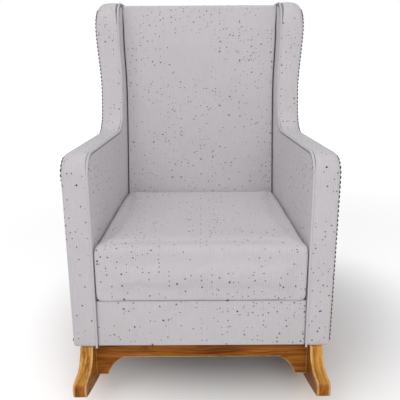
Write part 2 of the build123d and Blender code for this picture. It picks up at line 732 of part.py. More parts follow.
ZIP_Z = CUSHION_Z + CUSHION_HEIGHT / 2
ZIP_PLANE = Plane(
    origin=(0, FRONT_Y + rear_depth(ZIP_Z) - BACK_THICKNESS - CUSHION_BACK_GAP, ZIP_Z),
    x_dir=(1, 0, 0),
    z_dir=(0, cos(RAKE_ANGLE), -sin(RAKE_ANGLE)),
)
with BuildPart() as cushion_zip:
    with BuildSketch(ZIP_PLANE):
        Rectangle(ZIP_LENGTH, ZIP_TAPE)
    extrude(amount=ZIP_THICKNESS)
    with BuildSketch(ZIP_PLANE.offset(ZIP_THICKNESS)):
        Rectangle(ZIP_LENGTH - SLIDER_LENGTH, ZIP_CHAIN)
    extrude(amount=ZIP_THICKNESS)

SLIDER_FOOT = ZIP_THICKNESS + SLIDER_CLEARANCE
with BuildPart() as zip_slider:
    with BuildSketch(ZIP_PLANE.offset(SLIDER_FOOT)):
        with Locations((SLIDER_LENGTH * 1.5 - ZIP_LENGTH / 2, 0)):
            Rectangle(SLIDER_LENGTH, SLIDER_WIDTH)
    extrude(amount=SLIDER_HEIGHT)
    with BuildSketch(ZIP_PLANE.offset(SLIDER_FOOT)):
        Rectangle(ZIP_LENGTH, ZIP_CHAIN + 2 * SLIDER_CLEARANCE)
    extrude(amount=ZIP_THICKNESS, mode=Mode.SUBTRACT)

# ---- Labels and files ----
right_pieces = {
    "rocker": right_rocker,
    "bottom_rail": right_bottom_rail,
    "front_post": right_front_post,
    "rear_post": right_rear_post,
    "arm_rail": right_arm_rail,
    "wing_board": right_wing_board,
    "side_padding": right_side_padding,
    "side_cover": right_side_cover,
    "piping": right_piping,
    "nail_trim": right_nail_trim,
}
middle_pieces = {
    "front_apron": front_apron,
    "rear_apron": rear_apron,
    "apron_dowels": apron_dowels,
    "base_corner_blocks": base_corner_blocks,
    "base_washers": base_washers,
    "base_bolts": base_bolts,
    "t_nuts": t_nuts,
    "seat_front_rail": seat_front_rail,
    "seat_rear_rail": seat_rear_rail,
    "seat_corner_blocks": seat_corner_blocks,
    "zigzag_springs": zigzag_springs,
    "spring_clips": spring_clips,
    "seat_deck": seat_deck,
    "front_border_padding": front_border_padding,
    "front_border_cover": front_border_cover,
    "dust_cover": dust_cover,
    "back_lower_rail": back_lower_rail,
    "back_top_rail": back_top_rail,
    "back_webbing": back_webbing,
    "back_padding": back_padding,
    "back_cover": back_cover,
    "outside_back": outside_back,
    "seat_cushion_foam": seat_cushion_foam,
    "seat_cushion_cover": seat_cushion_cover,
    "cushion_zip": cushion_zip,
    "zip_slider": zip_slider,
}

os.makedirs("parts", exist_ok=True)
for name, piece in middle_pieces.items():
    piece.part.label = name
    export_step(piece.part, f"parts/{name}.step")
for name, piece in right_pieces.items():
    piece.part.label = f"right_{name}"
    export_step(piece.part, f"parts/right_{name}.step")
    with BuildPart() as left_piece:
        mirror(piece.part, about=Plane.YZ)
    left_piece.part.label = f"left_{name}"
    export_step(left_piece.part, f"parts/left_{name}.step")
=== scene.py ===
"""Wing-back rocking armchair: its upholstery, piping, nailhead trim, zip and stained rocker base."""

import math

import bmesh
import bpy
import numpy as np
from mathutils import Matrix, Vector
from mathutils.geometry import delaunay_2d_cdt


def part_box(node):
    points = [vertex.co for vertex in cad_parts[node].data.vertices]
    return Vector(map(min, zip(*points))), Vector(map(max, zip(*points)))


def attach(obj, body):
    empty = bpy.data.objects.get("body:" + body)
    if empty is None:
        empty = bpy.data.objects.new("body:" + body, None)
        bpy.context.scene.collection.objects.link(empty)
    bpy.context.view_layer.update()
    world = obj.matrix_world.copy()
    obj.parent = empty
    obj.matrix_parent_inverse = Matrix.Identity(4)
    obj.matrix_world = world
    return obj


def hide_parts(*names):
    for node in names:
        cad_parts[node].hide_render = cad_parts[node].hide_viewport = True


bl_info = {
    "name": "Wing Rocker Upholstery",
    "version": (1, 0, 0),
    "blender": (4, 5, 0),
    "location": "View3D > Sidebar > Wing Rocker",
    "description": "Builds the upholstery, trim and base of a wing-back rocking chair around its frame",
    "category": "Object",
}

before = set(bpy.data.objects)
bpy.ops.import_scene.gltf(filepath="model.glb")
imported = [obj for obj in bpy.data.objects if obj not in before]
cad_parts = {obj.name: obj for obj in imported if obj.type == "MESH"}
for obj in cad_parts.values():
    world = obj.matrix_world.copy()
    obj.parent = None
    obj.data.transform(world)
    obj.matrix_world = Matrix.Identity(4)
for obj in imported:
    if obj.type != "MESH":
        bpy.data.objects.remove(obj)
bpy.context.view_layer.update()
MM = 0.001

# ---- Places and sizes read from the frame, metres ----
BODY = "chair"
CUSHION_BODY = "seat_cushion"
FRAME_INSET = 5 * MM  # from a side's outline to the timber inside it
BORDER_SETBACK = 4 * MM
SKIN = 2 * MM
COVER_LOW, COVER_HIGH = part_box("right_side_cover")
BORDER_LOW, BORDER_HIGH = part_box("front_border_cover")
BACK_LOW, BACK_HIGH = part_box("back_cover")
OUTSIDE_LOW, OUTSIDE_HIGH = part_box("outside_back")
ROCKER_LOW, ROCKER_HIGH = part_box("right_rocker")
FRONT_Y = BORDER_LOW.y - BORDER_SETBACK
BODY_Z = COVER_LOW.z
ARM_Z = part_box("right_arm_rail")[1].z + FRAME_INSET
WING_Z = COVER_HIGH.z
OUTER_HALF = COVER_HIGH.x
BACK_TOP_Z = BACK_HIGH.z
CUSHION_LOW, CUSHION_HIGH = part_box("seat_cushion_cover")

# ---- Lines that the sides and the back share ----
TOE_IN = 0.0295  # each side comes in by this much per metre of depth
BACK_RAKE = 0.119  # the rear plane leans back by this much per metre of height
BODY_DEPTH = OUTSIDE_HIGH.y - FRONT_Y - BACK_RAKE * (OUTSIDE_HIGH.z - BODY_Z) - 4.4 * MM
BACK_THICKNESS = 113 * MM
SIDE_BOTTOM_WIDTH = 63.5 * MM
SIDE_ARM_WIDTH = 67.5 * MM
WING_TOP_WIDTH = 75 * MM
WING_FOOT_SPAN = 188 * MM
WING_CREST_SPAN = 180 * MM
WING_HOLLOW = 11.0 * MM
FLARE = 15 * MM
FLARE_RISE = 136 * MM
FLARE_TOP_DROP = 83 * MM
ARM_EDGE = 15 * MM  # radius of the outer edge over the arm
WING_EDGE = 28 * MM  # radius of the outer edge over the front of the wing's top
FOOT_CORNER = 7 * MM
WAIST_CORNER = 1.6  # radius of the wing's hollow front
WING_REAR_CORNER = 14 * MM
TOE_ANGLE = math.atan(TOE_IN)
RAKE_ANGLE = math.atan(BACK_RAKE)
OUTWARDS = np.array([math.cos(TOE_ANGLE), math.sin(TOE_ANGLE), 0.0])
ALONG = np.array([-math.sin(TOE_ANGLE), math.cos(TOE_ANGLE), 0.0])
UPWARDS = np.array([0.0, 0.0, 1.0])
SIDE_ORIGIN = np.array([OUTER_HALF, FRONT_Y, 0.0])


# ---------------------------------------------------------------- settings
class FabricSettings(bpy.types.PropertyGroup):
    """The upholstery cloth."""

    base: bpy.props.FloatVectorProperty(
        name="Cloth", description="Colour of the cloth", subtype="COLOR", size=3, min=0, max=1,
        default=(0.71, 0.680, 0.704),
    )
    shade: bpy.props.FloatVectorProperty(
        name="Cloth shade", description="Darker threads of the cloth", subtype="COLOR", size=3, min=0, max=1,
        default=(0.59, 0.561, 0.585),
    )
    fleck: bpy.props.FloatVectorProperty(
        name="Fleck", description="Colour of the flecks spun into the cloth", subtype="COLOR", size=3, min=0,
        max=1, default=(0.012, 0.009, 0.010),
    )
    thread: bpy.props.FloatProperty(
        name="Thread", description="Distance from one thread to the next", default=1.3 * MM, unit="LENGTH",
    )
    rib: bpy.props.FloatProperty(
        name="Rib", description="Distance between the faint ribs of heavier thread",
        default=6 * MM, unit="LENGTH",
    )


class SideSettings(bpy.types.PropertyGroup):
    """The sides: arm and wing in one piece."""

    arm_corner: bpy.props.FloatProperty(
        name="Arm corner", description="Radius of the arm's front corner", default=47 * MM, unit="LENGTH",
    )
    wing_foot: bpy.props.FloatProperty(
        name="Wing foot", description="Radius of the hollow from arm to wing", default=80 * MM, unit="LENGTH",
    )
    wing_crest: bpy.props.FloatProperty(
        name="Wing crest", description="Radius of the wing's top front corner",
        default=60 * MM, unit="LENGTH",
    )
    edge: bpy.props.FloatProperty(
        name="Edge", description="Radius of the padded edges", default=6.5 * MM, unit="LENGTH",
    )
    crown: bpy.props.FloatProperty(
        name="Band crown", description="How far the band bulges between its edges",
        default=1.6 * MM, unit="LENGTH",
    )
    piping: bpy.props.FloatProperty(
        name="Piping", description="Radius of the piping", default=3.0 * MM, unit="LENGTH",
    )


class NailSettings(bpy.types.PropertyGroup):
    """The nailhead trim."""

    pitch: bpy.props.FloatProperty(
        name="Pitch", description="Distance from one nail to the next", default=12 * MM, unit="LENGTH",
    )
    head: bpy.props.FloatProperty(
        name="Head", description="Radius of a nail's head", default=5.5 * MM, unit="LENGTH",
    )
    height: bpy.props.FloatProperty(
        name="Height", description="How far a head stands out", default=3.2 * MM, unit="LENGTH",
    )
    inset: bpy.props.FloatProperty(
        name="Inset", description="From the side's edge to the line of nails", default=8 * MM, unit="LENGTH",
    )
    stray: bpy.props.FloatProperty(
        name="Stray", description="How far the left line wanders back, low on the arm",
        default=9 * MM, unit="LENGTH",
    )
    bronze: bpy.props.FloatVectorProperty(
        name="Bronze", description="Colour of the antiqued heads", subtype="COLOR", size=3, min=0, max=1,
        default=(0.05, 0.042, 0.03),
    )


class CushionSettings(bpy.types.PropertyGroup):
    """The loose seat cushion."""

    voxel: bpy.props.FloatProperty(
        name="Voxel", description="Size of the cloth's mesh", default=6 * MM, unit="LENGTH",
    )
    pressure: bpy.props.FloatProperty(name="Pressure", description="How hard the filling pushes", default=4.0)
    reach: bpy.props.FloatProperty(
        name="Reach", description="The most that the cloth may swell", default=9 * MM, unit="LENGTH",
    )
    rise: bpy.props.FloatProperty(
        name="Rise", description="How much thicker the filling is towards the back",
        default=9 * MM, unit="LENGTH",
    )
    frames: bpy.props.IntProperty(name="Frames", description="Length of the simulation", default=20)


class WoodSettings(bpy.types.PropertyGroup):
    """The stained wood of the rockers and aprons."""

    light: bpy.props.FloatVectorProperty(
        name="Light grain", description="Colour between the growth lines", subtype="COLOR", size=3, min=0,
        max=1, default=(0.84, 0.41, 0.075),
    )
    # Painted shade: this colour darkens the boards' flat faces and the rockers' ends, partly their deeper
    # stain and partly the shade that falls on faces turned from the light.
    face: bpy.props.FloatVectorProperty(
        name="Face", description="How much deeper the boards' faces took the stain", subtype="COLOR", size=3,
        min=0, max=1, default=(0.56, 0.40, 0.30),
    )
    dark: bpy.props.FloatVectorProperty(
        name="Dark grain", description="Colour of the growth lines", subtype="COLOR", size=3, min=0, max=1,
        default=(0.22, 0.066, 0.010),
    )
    edge: bpy.props.FloatProperty(
        name="Edge", description="Radius of the boards' softened edges", default=2.2 * MM, unit="LENGTH",
    )


class StageSettings(bpy.types.PropertyGroup):
    """Floor, light and camera."""

    floor: bpy.props.FloatVectorProperty(
        name="Floor", description="Colour of the floor", subtype="COLOR", size=3, min=0, max=1,
        default=(0.93, 0.93, 0.93),
    )
    glow: bpy.props.FloatProperty(
        name="Floor glow", description="Light that the floor gives off in the chair's shadow", default=0.03,
    )
    ambient: bpy.props.FloatProperty(
        name="Ambient", description="Brightness of the light that comes from all round", default=0.455,
    )
    key: bpy.props.FloatProperty(name="Key light", description="Power of the key light", default=17.0)
    height: bpy.props.FloatProperty(
        name="Eye height", description="Height of the camera", default=0.8745, unit="LENGTH",
    )
    distance: bpy.props.FloatProperty(
        name="Distance", description="From the camera to the arms' front plane",
        default=1.1795, unit="LENGTH",
    )
    offset: bpy.props.FloatProperty(
        name="Offset", description="Camera's distance from the middle plane", default=-0.0018, unit="LENGTH",
    )
    pitch: bpy.props.FloatProperty(
        name="Pitch", description="How far the camera looks down",
        default=math.radians(15.21), unit="ROTATION",
    )
    roll: bpy.props.FloatProperty(
        name="Roll", description="How far the camera leans over", default=-0.0057, unit="ROTATION",
    )


# ---------------------------------------------------------------- outlines
def round_corners(points, radii, step):
    """Closed outline through points, with each corner rounded to its radius, as points about a step apart."""
    points = [np.array(p, float) for p in points]
    count = len(points)
    arcs = []
    for i, corner in enumerate(points):
        before = points[i - 1] - corner
        after = points[(i + 1) % count] - corner
        before /= np.linalg.norm(before)
        after /= np.linalg.norm(after)
        half = math.acos(np.clip(before @ after, -1, 1)) / 2
        reach = radii[i] / math.tan(half)
        centre = corner + (before + after) / np.linalg.norm(before + after) * radii[i] / math.sin(half)
        start, end = corner + before * reach - centre, corner + after * reach - centre
        turn = math.atan2(start[0] * end[1] - start[1] * end[0], start @ end)
        arcs.append((centre, math.atan2(start[1], start[0]), turn, radii[i]))
    line = []
    for centre, angle, turn, radius in arcs:
        pieces = max(4, int(abs(turn) * radius / step))
        for k in range(pieces + 1):
            a = angle + turn * k / pieces
            line.append(centre + radius * np.array([math.cos(a), math.sin(a)]))
    return respace(np.array(line), step, closed=True)


def respace(line, step, closed=False):
    """The same line with its points evenly spaced, about a step apart."""
    if closed:
        line = np.vstack([line, line[:1]])
    gaps = np.linalg.norm(np.diff(line, axis=0), axis=1)
    line = line[np.append(True, gaps > 1e-9)]
    run = np.append(0, np.cumsum(np.linalg.norm(np.diff(line, axis=0), axis=1)))
    count = max(3, round(run[-1] / step))
    marks = np.linspace(0, run[-1], count + 1)
    if closed:
        marks = marks[:-1]
    return np.stack([np.interp(marks, run, line[:, k]) for k in range(line.shape[1])], axis=1)


def inward_normals(line):
    """Unit normals of a closed clockwise outline, pointing into it."""
    along = np.roll(line, -1, axis=0) - np.roll(line, 1, axis=0)
    along /= np.linalg.norm(along, axis=1)[:, None]
    return np.stack([along[:, 1], -along[:, 0]], axis=1)


def inset_outline(line, inward, inset):
    """The outline moved inwards, with the points that would cross at tight corners drawn together."""
    moved = line + inward * inset[:, None]
    gap = np.sqrt(((moved[:, None, :] - line[None, :, :]) ** 2).sum(axis=2)).min(axis=1)
    good = np.flatnonzero(gap >= inset * 0.97 - 1e-6)
    if len(good) == len(line):
        return moved
    every = np.arange(len(line))
    wrapped = np.concatenate([good - len(line), good, good + len(line)])
    return np.stack([np.interp(every, wrapped, np.tile(moved[good, k], 3)) for k in range(2)], axis=1)


def rear_depth(height):
    """Depth of the rear plane at a height."""
    return BODY_DEPTH + BACK_RAKE * (height - BODY_Z)


def side_outline(settings, step=7 * MM, foot=0.0):
    """Outline of a side: depth across, height up, clockwise from the front foot."""
    foot_z = BODY_Z - foot
    arm_foot = np.array([rear_depth(ARM_Z) - WING_FOOT_SPAN, ARM_Z])
    crest = np.array([rear_depth(WING_Z) - WING_CREST_SPAN, WING_Z])
    across = (crest - arm_foot) / np.linalg.norm(crest - arm_foot)
    waist = (crest + arm_foot) / 2 + WING_HOLLOW * np.array([across[1], -across[0]])
    points = [
        (0, foot_z), (0, ARM_Z), arm_foot, waist, crest,
        (rear_depth(WING_Z), WING_Z), (rear_depth(foot_z), foot_z),
    ]
    radii = [
        FOOT_CORNER, settings.arm_corner, settings.wing_foot, WAIST_CORNER, settings.wing_crest,
        WING_REAR_CORNER, FOOT_CORNER,
    ]
    return round_corners(points, radii, step)


def soft_step(value, low, high):
    """0 below low, 1 above high and a smooth rise between."""
    t = np.clip((value - low) / (high - low), 0, 1)
    return t * t * (3 - 2 * t)


def lean(height):
    """How far a side's outer face leans out at a height."""
    start = ARM_Z + FLARE_RISE
    return FLARE * soft_step(height, start - 20 * MM, WING_Z - FLARE_TOP_DROP + 20 * MM)


def outer_edge(settings, line):
    """Radius of a side's outer edge along its outline: large over the arm and the front of the wing's top."""
    high = soft_step(line[:, 1], WING_Z - 90 * MM, WING_Z - 12 * MM)
    ahead = 1 - soft_step(line[:, 0], rear_depth(WING_Z) - 90 * MM, rear_depth(WING_Z) - 40 * MM)
    arm = soft_step(line[:, 1], ARM_Z - 60 * MM, ARM_Z - 5 * MM)
    arm *= 1 - soft_step(line[:, 1], ARM_Z, ARM_Z + 60 * MM)
    arm *= 1 - soft_step(line[:, 0], rear_depth(ARM_Z) - WING_FOOT_SPAN, rear_depth(ARM_Z) - 90 * MM)
    return settings.edge + (WING_EDGE - settings.edge) * high * ahead + (ARM_EDGE - settings.edge) * arm


def inner_line(height):
    """Where a side's inner face stands, measured outwards from its outer plane."""
    width = np.interp(height, [BODY_Z, ARM_Z], [SIDE_BOTTOM_WIDTH, SIDE_ARM_WIDTH])
    top = FLARE - WING_TOP_WIDTH
    start = ARM_Z + FLARE_RISE
    return -width + (top + SIDE_ARM_WIDTH) * soft_step(height, start - 20 * MM, WING_Z - FLARE_TOP_DROP)


def side_point(flat, outwards, hand):
    """Place of points given by depth and height, and how far they stand out of the side's outer plane."""
    place = (
        SIDE_ORIGIN + flat[:, :1] * ALONG + flat[:, 1:2] * UPWARDS
        + np.broadcast_to(outwards, len(flat))[:, None] * OUTWARDS
    )
    place[:, 0] *= hand
    return place


# ---------------------------------------------------------------- meshes
def rounded_slab(name, line, span, edge_a, edge_b, margin=6 * MM, grid=14 * MM, crown=0.0, swell_a=0.0,
                 swell_b=0.0, swell_reach=50 * MM, band_rings=8, edge_rings=4, painted_shade=(0, 0, 0)):
    """Closed slab over a clockwise outline, with rounded edges and softly swelling faces.

    span gives the two faces' places for points of the outline's plane. edge_a and edge_b are the edge radii
    along the outline, and crown is how far the band between them bulges. The attribute edge marks the edges,
    band marks what lies between the two faces, and crevice_shade takes the values of painted_shade at the
    first edge, the band and the second edge: painted shade that darkens the cloth in the crevices between
    pieces.
    """
    count = len(line)
    inward = inward_normals(line)
    edge_a = np.broadcast_to(edge_a, count).astype(float)
    edge_b = np.broadcast_to(edge_b, count).astype(float)
    rings, marks, bands, crevice_shades = [], [], [], []

    def place(inset, depth, from_b=False):
        a, b = span(inset_outline(line, inward, np.broadcast_to(inset, count)))
        unit = (b - a) / np.linalg.norm(b - a, axis=1)[:, None]
        depth = np.broadcast_to(depth, count)[:, None]
        return b - unit * depth if from_b else a + unit * depth

    def add_ring(points, mark, band=0.0, shade_level=0.0):
        rings.append(points)
        for values, value in ((marks, mark), (bands, band), (crevice_shades, shade_level)):
            values.append(np.broadcast_to(value, count).astype(float))

    add_ring(place(edge_a + margin, 0), 0.0)
    add_ring(place(edge_a + margin * 0.3, 0), 0.15)
    for k in range(edge_rings + 1):
        a = math.pi / 2 * k / edge_rings
        add_ring(place(edge_a * (1 - math.sin(a)), edge_a * (1 - math.cos(a))), 1.0, k / edge_rings,
                 painted_shade[0] * k / edge_rings)
    a_side, b_side = rings[-1], place(0, edge_b, True)
    for k in range(1, band_rings):
        t = k / band_rings
        flat_bulge = -inward * crown * 4 * t * (1 - t)
        low, high = span(line), span(line + flat_bulge)
        bulge = (high[0] + high[1] - low[0] - low[1]) / 2
        add_ring(a_side * (1 - t) + b_side * t + bulge, max(0.0, 0.6 - 5 * min(t, 1 - t)), 1.0,
                 painted_shade[1])
    for k in range(edge_rings + 1):
        a = math.pi / 2 * k / edge_rings
        add_ring(place(edge_b * (1 - math.cos(a)), edge_b * (1 - math.sin(a)), True), 1.0, 1 - k / edge_rings,
                 painted_shade[2])
    add_ring(place(edge_b + margin * 0.3, 0, True), 0.15)
    add_ring(place(edge_b + margin, 0, True), 0.0)

    verts = list(np.vstack(rings))
    attributes = {"edge": marks, "band": bands, "crevice_shade": crevice_shades}
    faces = []
    for r in range(len(rings) - 1):
        for i in range(count):
            j = (i + 1) % count
            faces.append((r * count + i, r * count + j, (r + 1) * count + j, (r + 1) * count + i))
    for ring, radius, which, swell in ((0, edge_a, 0, swell_a), (len(rings) - 1, edge_b, 1, swell_b)):
        border = inset_outline(line, inward, radius + margin)
        inner, triangles = fill_outline(border, grid)
        spread = line[::4][None, :, :] - inner[:, None, :]
        reach = np.sqrt((spread**2).sum(axis=2)).min(axis=1) if len(inner) else np.zeros(0)
        ends = span(inner) if len(inner) else (np.zeros((0, 3)), np.zeros((0, 3)))
        unit = ends[1] - ends[0]
        unit = unit / np.linalg.norm(unit, axis=1)[:, None] if len(inner) else unit
        rise = swell * (1 - np.exp(-np.maximum(reach - margin, 0) / swell_reach))[:, None]
        first = len(verts)
        verts += list(ends[which] + unit * rise * (1 if which else -1))
        for values in attributes.values():
            values.append(np.zeros(len(inner)))
        for face in triangles:
            faces.append(tuple(ring * count + v if v < count else first + v - count for v in face))
    obj = mesh_object(name, verts, faces)
    for label, values in attributes.items():
        attribute = obj.data.attributes.new(label, "FLOAT", "POINT")
        attribute.data.foreach_set("value", np.concatenate(values).astype(np.float32))
    return obj


def fill_outline(border, grid):
    """Inner grid points of a closed outline, and triangles over the outline's points and them."""
    count = len(border)
    low, high = border.min(axis=0), border.max(axis=0)
    xs = np.arange(low[0] + grid / 2, high[0], grid)
    ys = np.arange(low[1] + grid / 2, high[1], grid)
    spots = np.array([(x, y) for x in xs for y in ys]).reshape(-1, 2)
    nxt = np.roll(border, -1, axis=0)
    crossed = (border[None, :, 1] > spots[:, None, 1]) != (nxt[None, :, 1] > spots[:, None, 1])
    rise = np.where(nxt[:, 1] == border[:, 1], 1e-12, nxt[:, 1] - border[:, 1])
    at = border[:, 0] + (spots[:, None, 1] - border[:, 1]) / rise * (nxt[:, 0] - border[:, 0])
    inside = (crossed & (spots[:, None, 0] < at)).sum(axis=1) % 2 == 1
    spots = spots[inside]
    if len(spots):
        gap = np.sqrt(((spots[:, None, :] - border[None, :, :]) ** 2).sum(axis=2)).min(axis=1)
        spots = spots[gap > grid * 0.45]
    everything = [Vector(p) for p in np.vstack([border, spots])]
    ring = [(i, (i + 1) % count) for i in range(count)]
    _, _, triangles, origin, _, _ = delaunay_2d_cdt(everything, ring, [], 1, 1e-7)
    return spots, [[origin[v][0] for v in face] for face in triangles]


def mesh_object(name, verts, faces, smooth=True):
    """New object at the origin from points and faces, with its faces turned outwards."""
    mesh = bpy.data.meshes.new(name)
    mesh.from_pydata([tuple(v) for v in verts], [], faces)
    tidy_mesh(mesh)
    mesh.polygons.foreach_set("use_smooth", [smooth] * len(mesh.polygons))
    obj = bpy.data.objects.new(name, mesh)
    bpy.context.scene.collection.objects.link(obj)
    return obj


def tidy_mesh(mesh):
    """Turn a mesh's faces outwards."""
    work = bmesh.new()
    work.from_mesh(mesh)
    bmesh.ops.recalc_face_normals(work, faces=work.faces)
    work.to_mesh(mesh)
    work.free()


def lay_cloth(obj):
    """UV map in metres that follows the cloth: threads run up the faces and back over the tops."""
    mesh = obj.data
    layer = mesh.uv_layers.new(name="cloth")
    points = np.zeros(len(mesh.vertices) * 3, np.float32)
    mesh.vertices.foreach_get("co", points)
    points = points.reshape(-1, 3)
    uv = np.zeros((len(mesh.loops), 2), np.float32)
    for face in mesh.polygons:
        normal = face.normal
        sideways = abs(normal.x) > max(abs(normal.y), abs(normal.z))
        for loop, corner in zip(face.loop_indices, face.vertices):
            x, y, z = points[corner]
            uv[loop] = (y, z) if sideways else (x, y + z)
    layer.data.foreach_set("uv", uv.ravel())


def finish_piece(obj, material, body, slot, *nodes):
    """Give a finished piece its material and its body, and hide the frame nodes it stands for. The slot is
    not used.
    """
    obj.data.materials.clear()
    obj.data.materials.append(material)
    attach(obj, body)
    if nodes:
        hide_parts(*nodes)
    return obj


def upholstered(obj, body, fill, *nodes):
    """Finish a padded piece in the chair's cloth."""
    lay_cloth(obj)
    finish_piece(obj, materials["cloth"], body, "upholstery_fabric", *nodes)
    return obj


# ---------------------------------------------------------------- shader groups
materials = {}


class Nodes:
    """Small helper that adds and joins the nodes of one tree."""

    def __init__(self, tree):
        self.tree = tree

    def add(self, kind, inputs=None, **settings):
        node = self.tree.nodes.new(kind)
        for key, value in settings.items():
            setattr(node, key, value)
        for key, value in (inputs or {}).items():
            if isinstance(value, bpy.types.NodeSocket):
                self.tree.links.new(value, node.inputs[key])
            else:
                node.inputs[key].default_value = value
        return node

    def math(self, operation, a, b=0.0, c=0.0):
        return self.add("ShaderNodeMath", {0: a, 1: b, 2: c}, operation=operation).outputs[0]

    def ramp(self, value, low, high):
        inputs = {"Value": value, "From Min": low, "From Max": high}
        node = self.add("ShaderNodeMapRange", inputs, interpolation_type="SMOOTHSTEP")
        return node.outputs["Result"]

    def mix(self, factor, a, b, blend="MIX"):
        node = self.add("ShaderNodeMix", data_type="RGBA", blend_type=blend)
        for socket, value in ((node.inputs[0], factor), (node.inputs[6], a), (node.inputs[7], b)):
            if isinstance(value, bpy.types.NodeSocket):
                self.tree.links.new(value, socket)
            else:
                socket.default_value = value if socket.type == "VALUE" else (*value, 1.0)[:4]
        return node.outputs[2]

    def noise(self, vector, scale, detail=3.0, rough=0.55, output="Fac", dims="3D"):
        inputs = {"Vector": vector, "Scale": scale, "Detail": detail, "Roughness": rough}
        return self.add("ShaderNodeTexNoise", inputs, noise_dimensions=dims).outputs[output]

    def stretch(self, vector, scale):
        return self.add("ShaderNodeVectorMath", {0: vector, 1: scale}, operation="MULTIPLY").outputs[0]


def shader_group(name, inputs, outputs):
    """New shader node group. Returns its tree helper, its input sockets by name and its output node."""
    tree = bpy.data.node_groups.new(name, "ShaderNodeTree")
    for label, kind, default in inputs:
        socket = tree.interface.new_socket(label, in_out="INPUT", socket_type=kind)
        if default is not None:
            socket.default_value = default
    for label, kind in outputs:
        tree.interface.new_socket(label, in_out="OUTPUT", socket_type=kind)
    entry = tree.nodes.new("NodeGroupInput")
    exit_node = tree.nodes.new("NodeGroupOutput")
    return Nodes(tree), entry.outputs, exit_node


def woven_cloth_group():
    """Plain linen weave with heavier ribs, slubs and scattered dark flecks, and painted crevice shade."""
    n, given, out = shader_group(
        "Woven cloth",
        [
            ("Cloth place", "NodeSocketVector", None),
            ("Cloth", "NodeSocketColor", None),
            ("Shade", "NodeSocketColor", None),
            ("Fleck", "NodeSocketColor", None),
            ("Threads per metre", "NodeSocketFloat", 770.0),
            ("Ribs per metre", "NodeSocketFloat", 140.0),
            ("Fleck amount", "NodeSocketFloat", 1.0),
            ("Seam", "NodeSocketFloat", 0.0),
        ],
        [("Color", "NodeSocketColor"), ("Height", "NodeSocketFloat"), ("Roughness", "NodeSocketFloat")],
    )
    place = given["Cloth place"]
    wander = n.noise(place, 9.0, 2.0, output="Color")
    loose = n.add(
        "ShaderNodeVectorMath", {0: wander, 1: (0.006, 0.004, 0.0), 2: place}, operation="MULTIPLY_ADD"
    ).outputs[0]
    axes = n.add("ShaderNodeSeparateXYZ", {0: loose})
    turn = n.math("MULTIPLY", given["Threads per metre"], math.pi)
    warp = n.math("SINE", n.math("MULTIPLY", axes.outputs[0], turn))
    weft = n.math("SINE", n.math("MULTIPLY", axes.outputs[1], turn))
    weave = n.math("MULTIPLY", warp, weft)
    rib_turn = n.math("MULTIPLY", given["Ribs per metre"], 2 * math.pi)
    ribs = n.math("SINE", n.math("MULTIPLY", axes.outputs[0], rib_turn))
    cross_ribs = n.math("SINE", n.math("MULTIPLY", axes.outputs[1], n.math("MULTIPLY", rib_turn, 0.8)))
    rib_patch = n.ramp(n.noise(place, 7.0, 2.0), 0.38, 0.62)
    cross_patch = n.ramp(n.noise(place, 5.0, 2.0, 0.5), 0.5, 0.7)
    slubs = n.noise(n.stretch(place, (420.0, 26.0, 1.0)), 1.0, 3.0)
    cross_slubs = n.noise(n.stretch(place, (30.0, 400.0, 1.0)), 1.0, 3.0)
    cloud = n.noise(place, 6.0, 3.0)
    tone = n.math("ADD", n.math("MULTIPLY", n.math("MULTIPLY", ribs, rib_patch), 0.15), 0.36)
    tone = n.math("ADD", tone, n.math("MULTIPLY", n.math("MULTIPLY", cross_ribs, cross_patch), 0.10))
    tone = n.math("ADD", tone, n.math("MULTIPLY", n.math("SUBTRACT", slubs, 0.5), 0.9))
    tone = n.math("ADD", tone, n.math("MULTIPLY", n.math("SUBTRACT", cross_slubs, 0.5), 0.6))
    tone = n.math("ADD", tone, n.math("MULTIPLY", n.math("SUBTRACT", cloud, 0.5), 0.5))
    color = n.mix(n.ramp(tone, 0.0, 1.0), given["Cloth"], given["Shade"])

    ragged = n.noise(place, 330.0, 2.0, output="Color")
    fleck_place = n.add(
        "ShaderNodeVectorMath", {0: ragged, 1: (0.0022, 0.0022, 0.0), 2: place}, operation="MULTIPLY_ADD"
    ).outputs[0]
    marks = None
    crowd = n.ramp(n.noise(place, 5.0, 2.0), 0.32, 0.60)
    for cells, size, share in ((30.0, 0.060, 0.34), (46.0, 0.075, 0.34), (75.0, 0.100, 0.30)):
        cell = n.add("ShaderNodeTexVoronoi", {"Vector": fleck_place, "Scale": cells, "Randomness": 1.0},
                     voronoi_dimensions="2D")
        draw = n.add("ShaderNodeSeparateColor", {0: cell.outputs["Color"]})
        radius = n.math("MULTIPLY_ADD", draw.outputs[1], size * 0.85, size * 0.6)
        spot = n.ramp(n.math("SUBTRACT", radius, cell.outputs["Distance"]), -0.012, 0.016)
        chosen = n.math("LESS_THAN", draw.outputs[0], n.math("MULTIPLY", crowd, share))
        depth = n.math("MULTIPLY_ADD", draw.outputs[2], 0.3, 0.7)
        mark = n.math("MULTIPLY", n.math("MULTIPLY", spot, chosen), depth)
        marks = mark if marks is None else n.math("MAXIMUM", marks, mark)
    marks = n.math("MULTIPLY", marks, given["Fleck amount"])
    color = n.mix(marks, color, given["Fleck"])
    # Painted crevice shade: the cloth turns nearly black where the crevice shade input is high.
    color = n.mix(n.math("MULTIPLY", n.ramp(given["Seam"], 0.5, 1.0), 0.62), color, (0.07, 0.06, 0.07))
    height = n.math("ADD", n.math("MULTIPLY", weave, 0.5), n.math("MULTIPLY", slubs, 0.8))
    height = n.math("ADD", height, n.math("MULTIPLY", n.math("MULTIPLY", ribs, rib_patch), 0.35))
    links = n.tree.links
    links.new(color, out.inputs["Color"])
    links.new(height, out.inputs["Height"])
    links.new(n.math("MULTIPLY_ADD", slubs, 0.1, 0.84), out.inputs["Roughness"])
    return n.tree


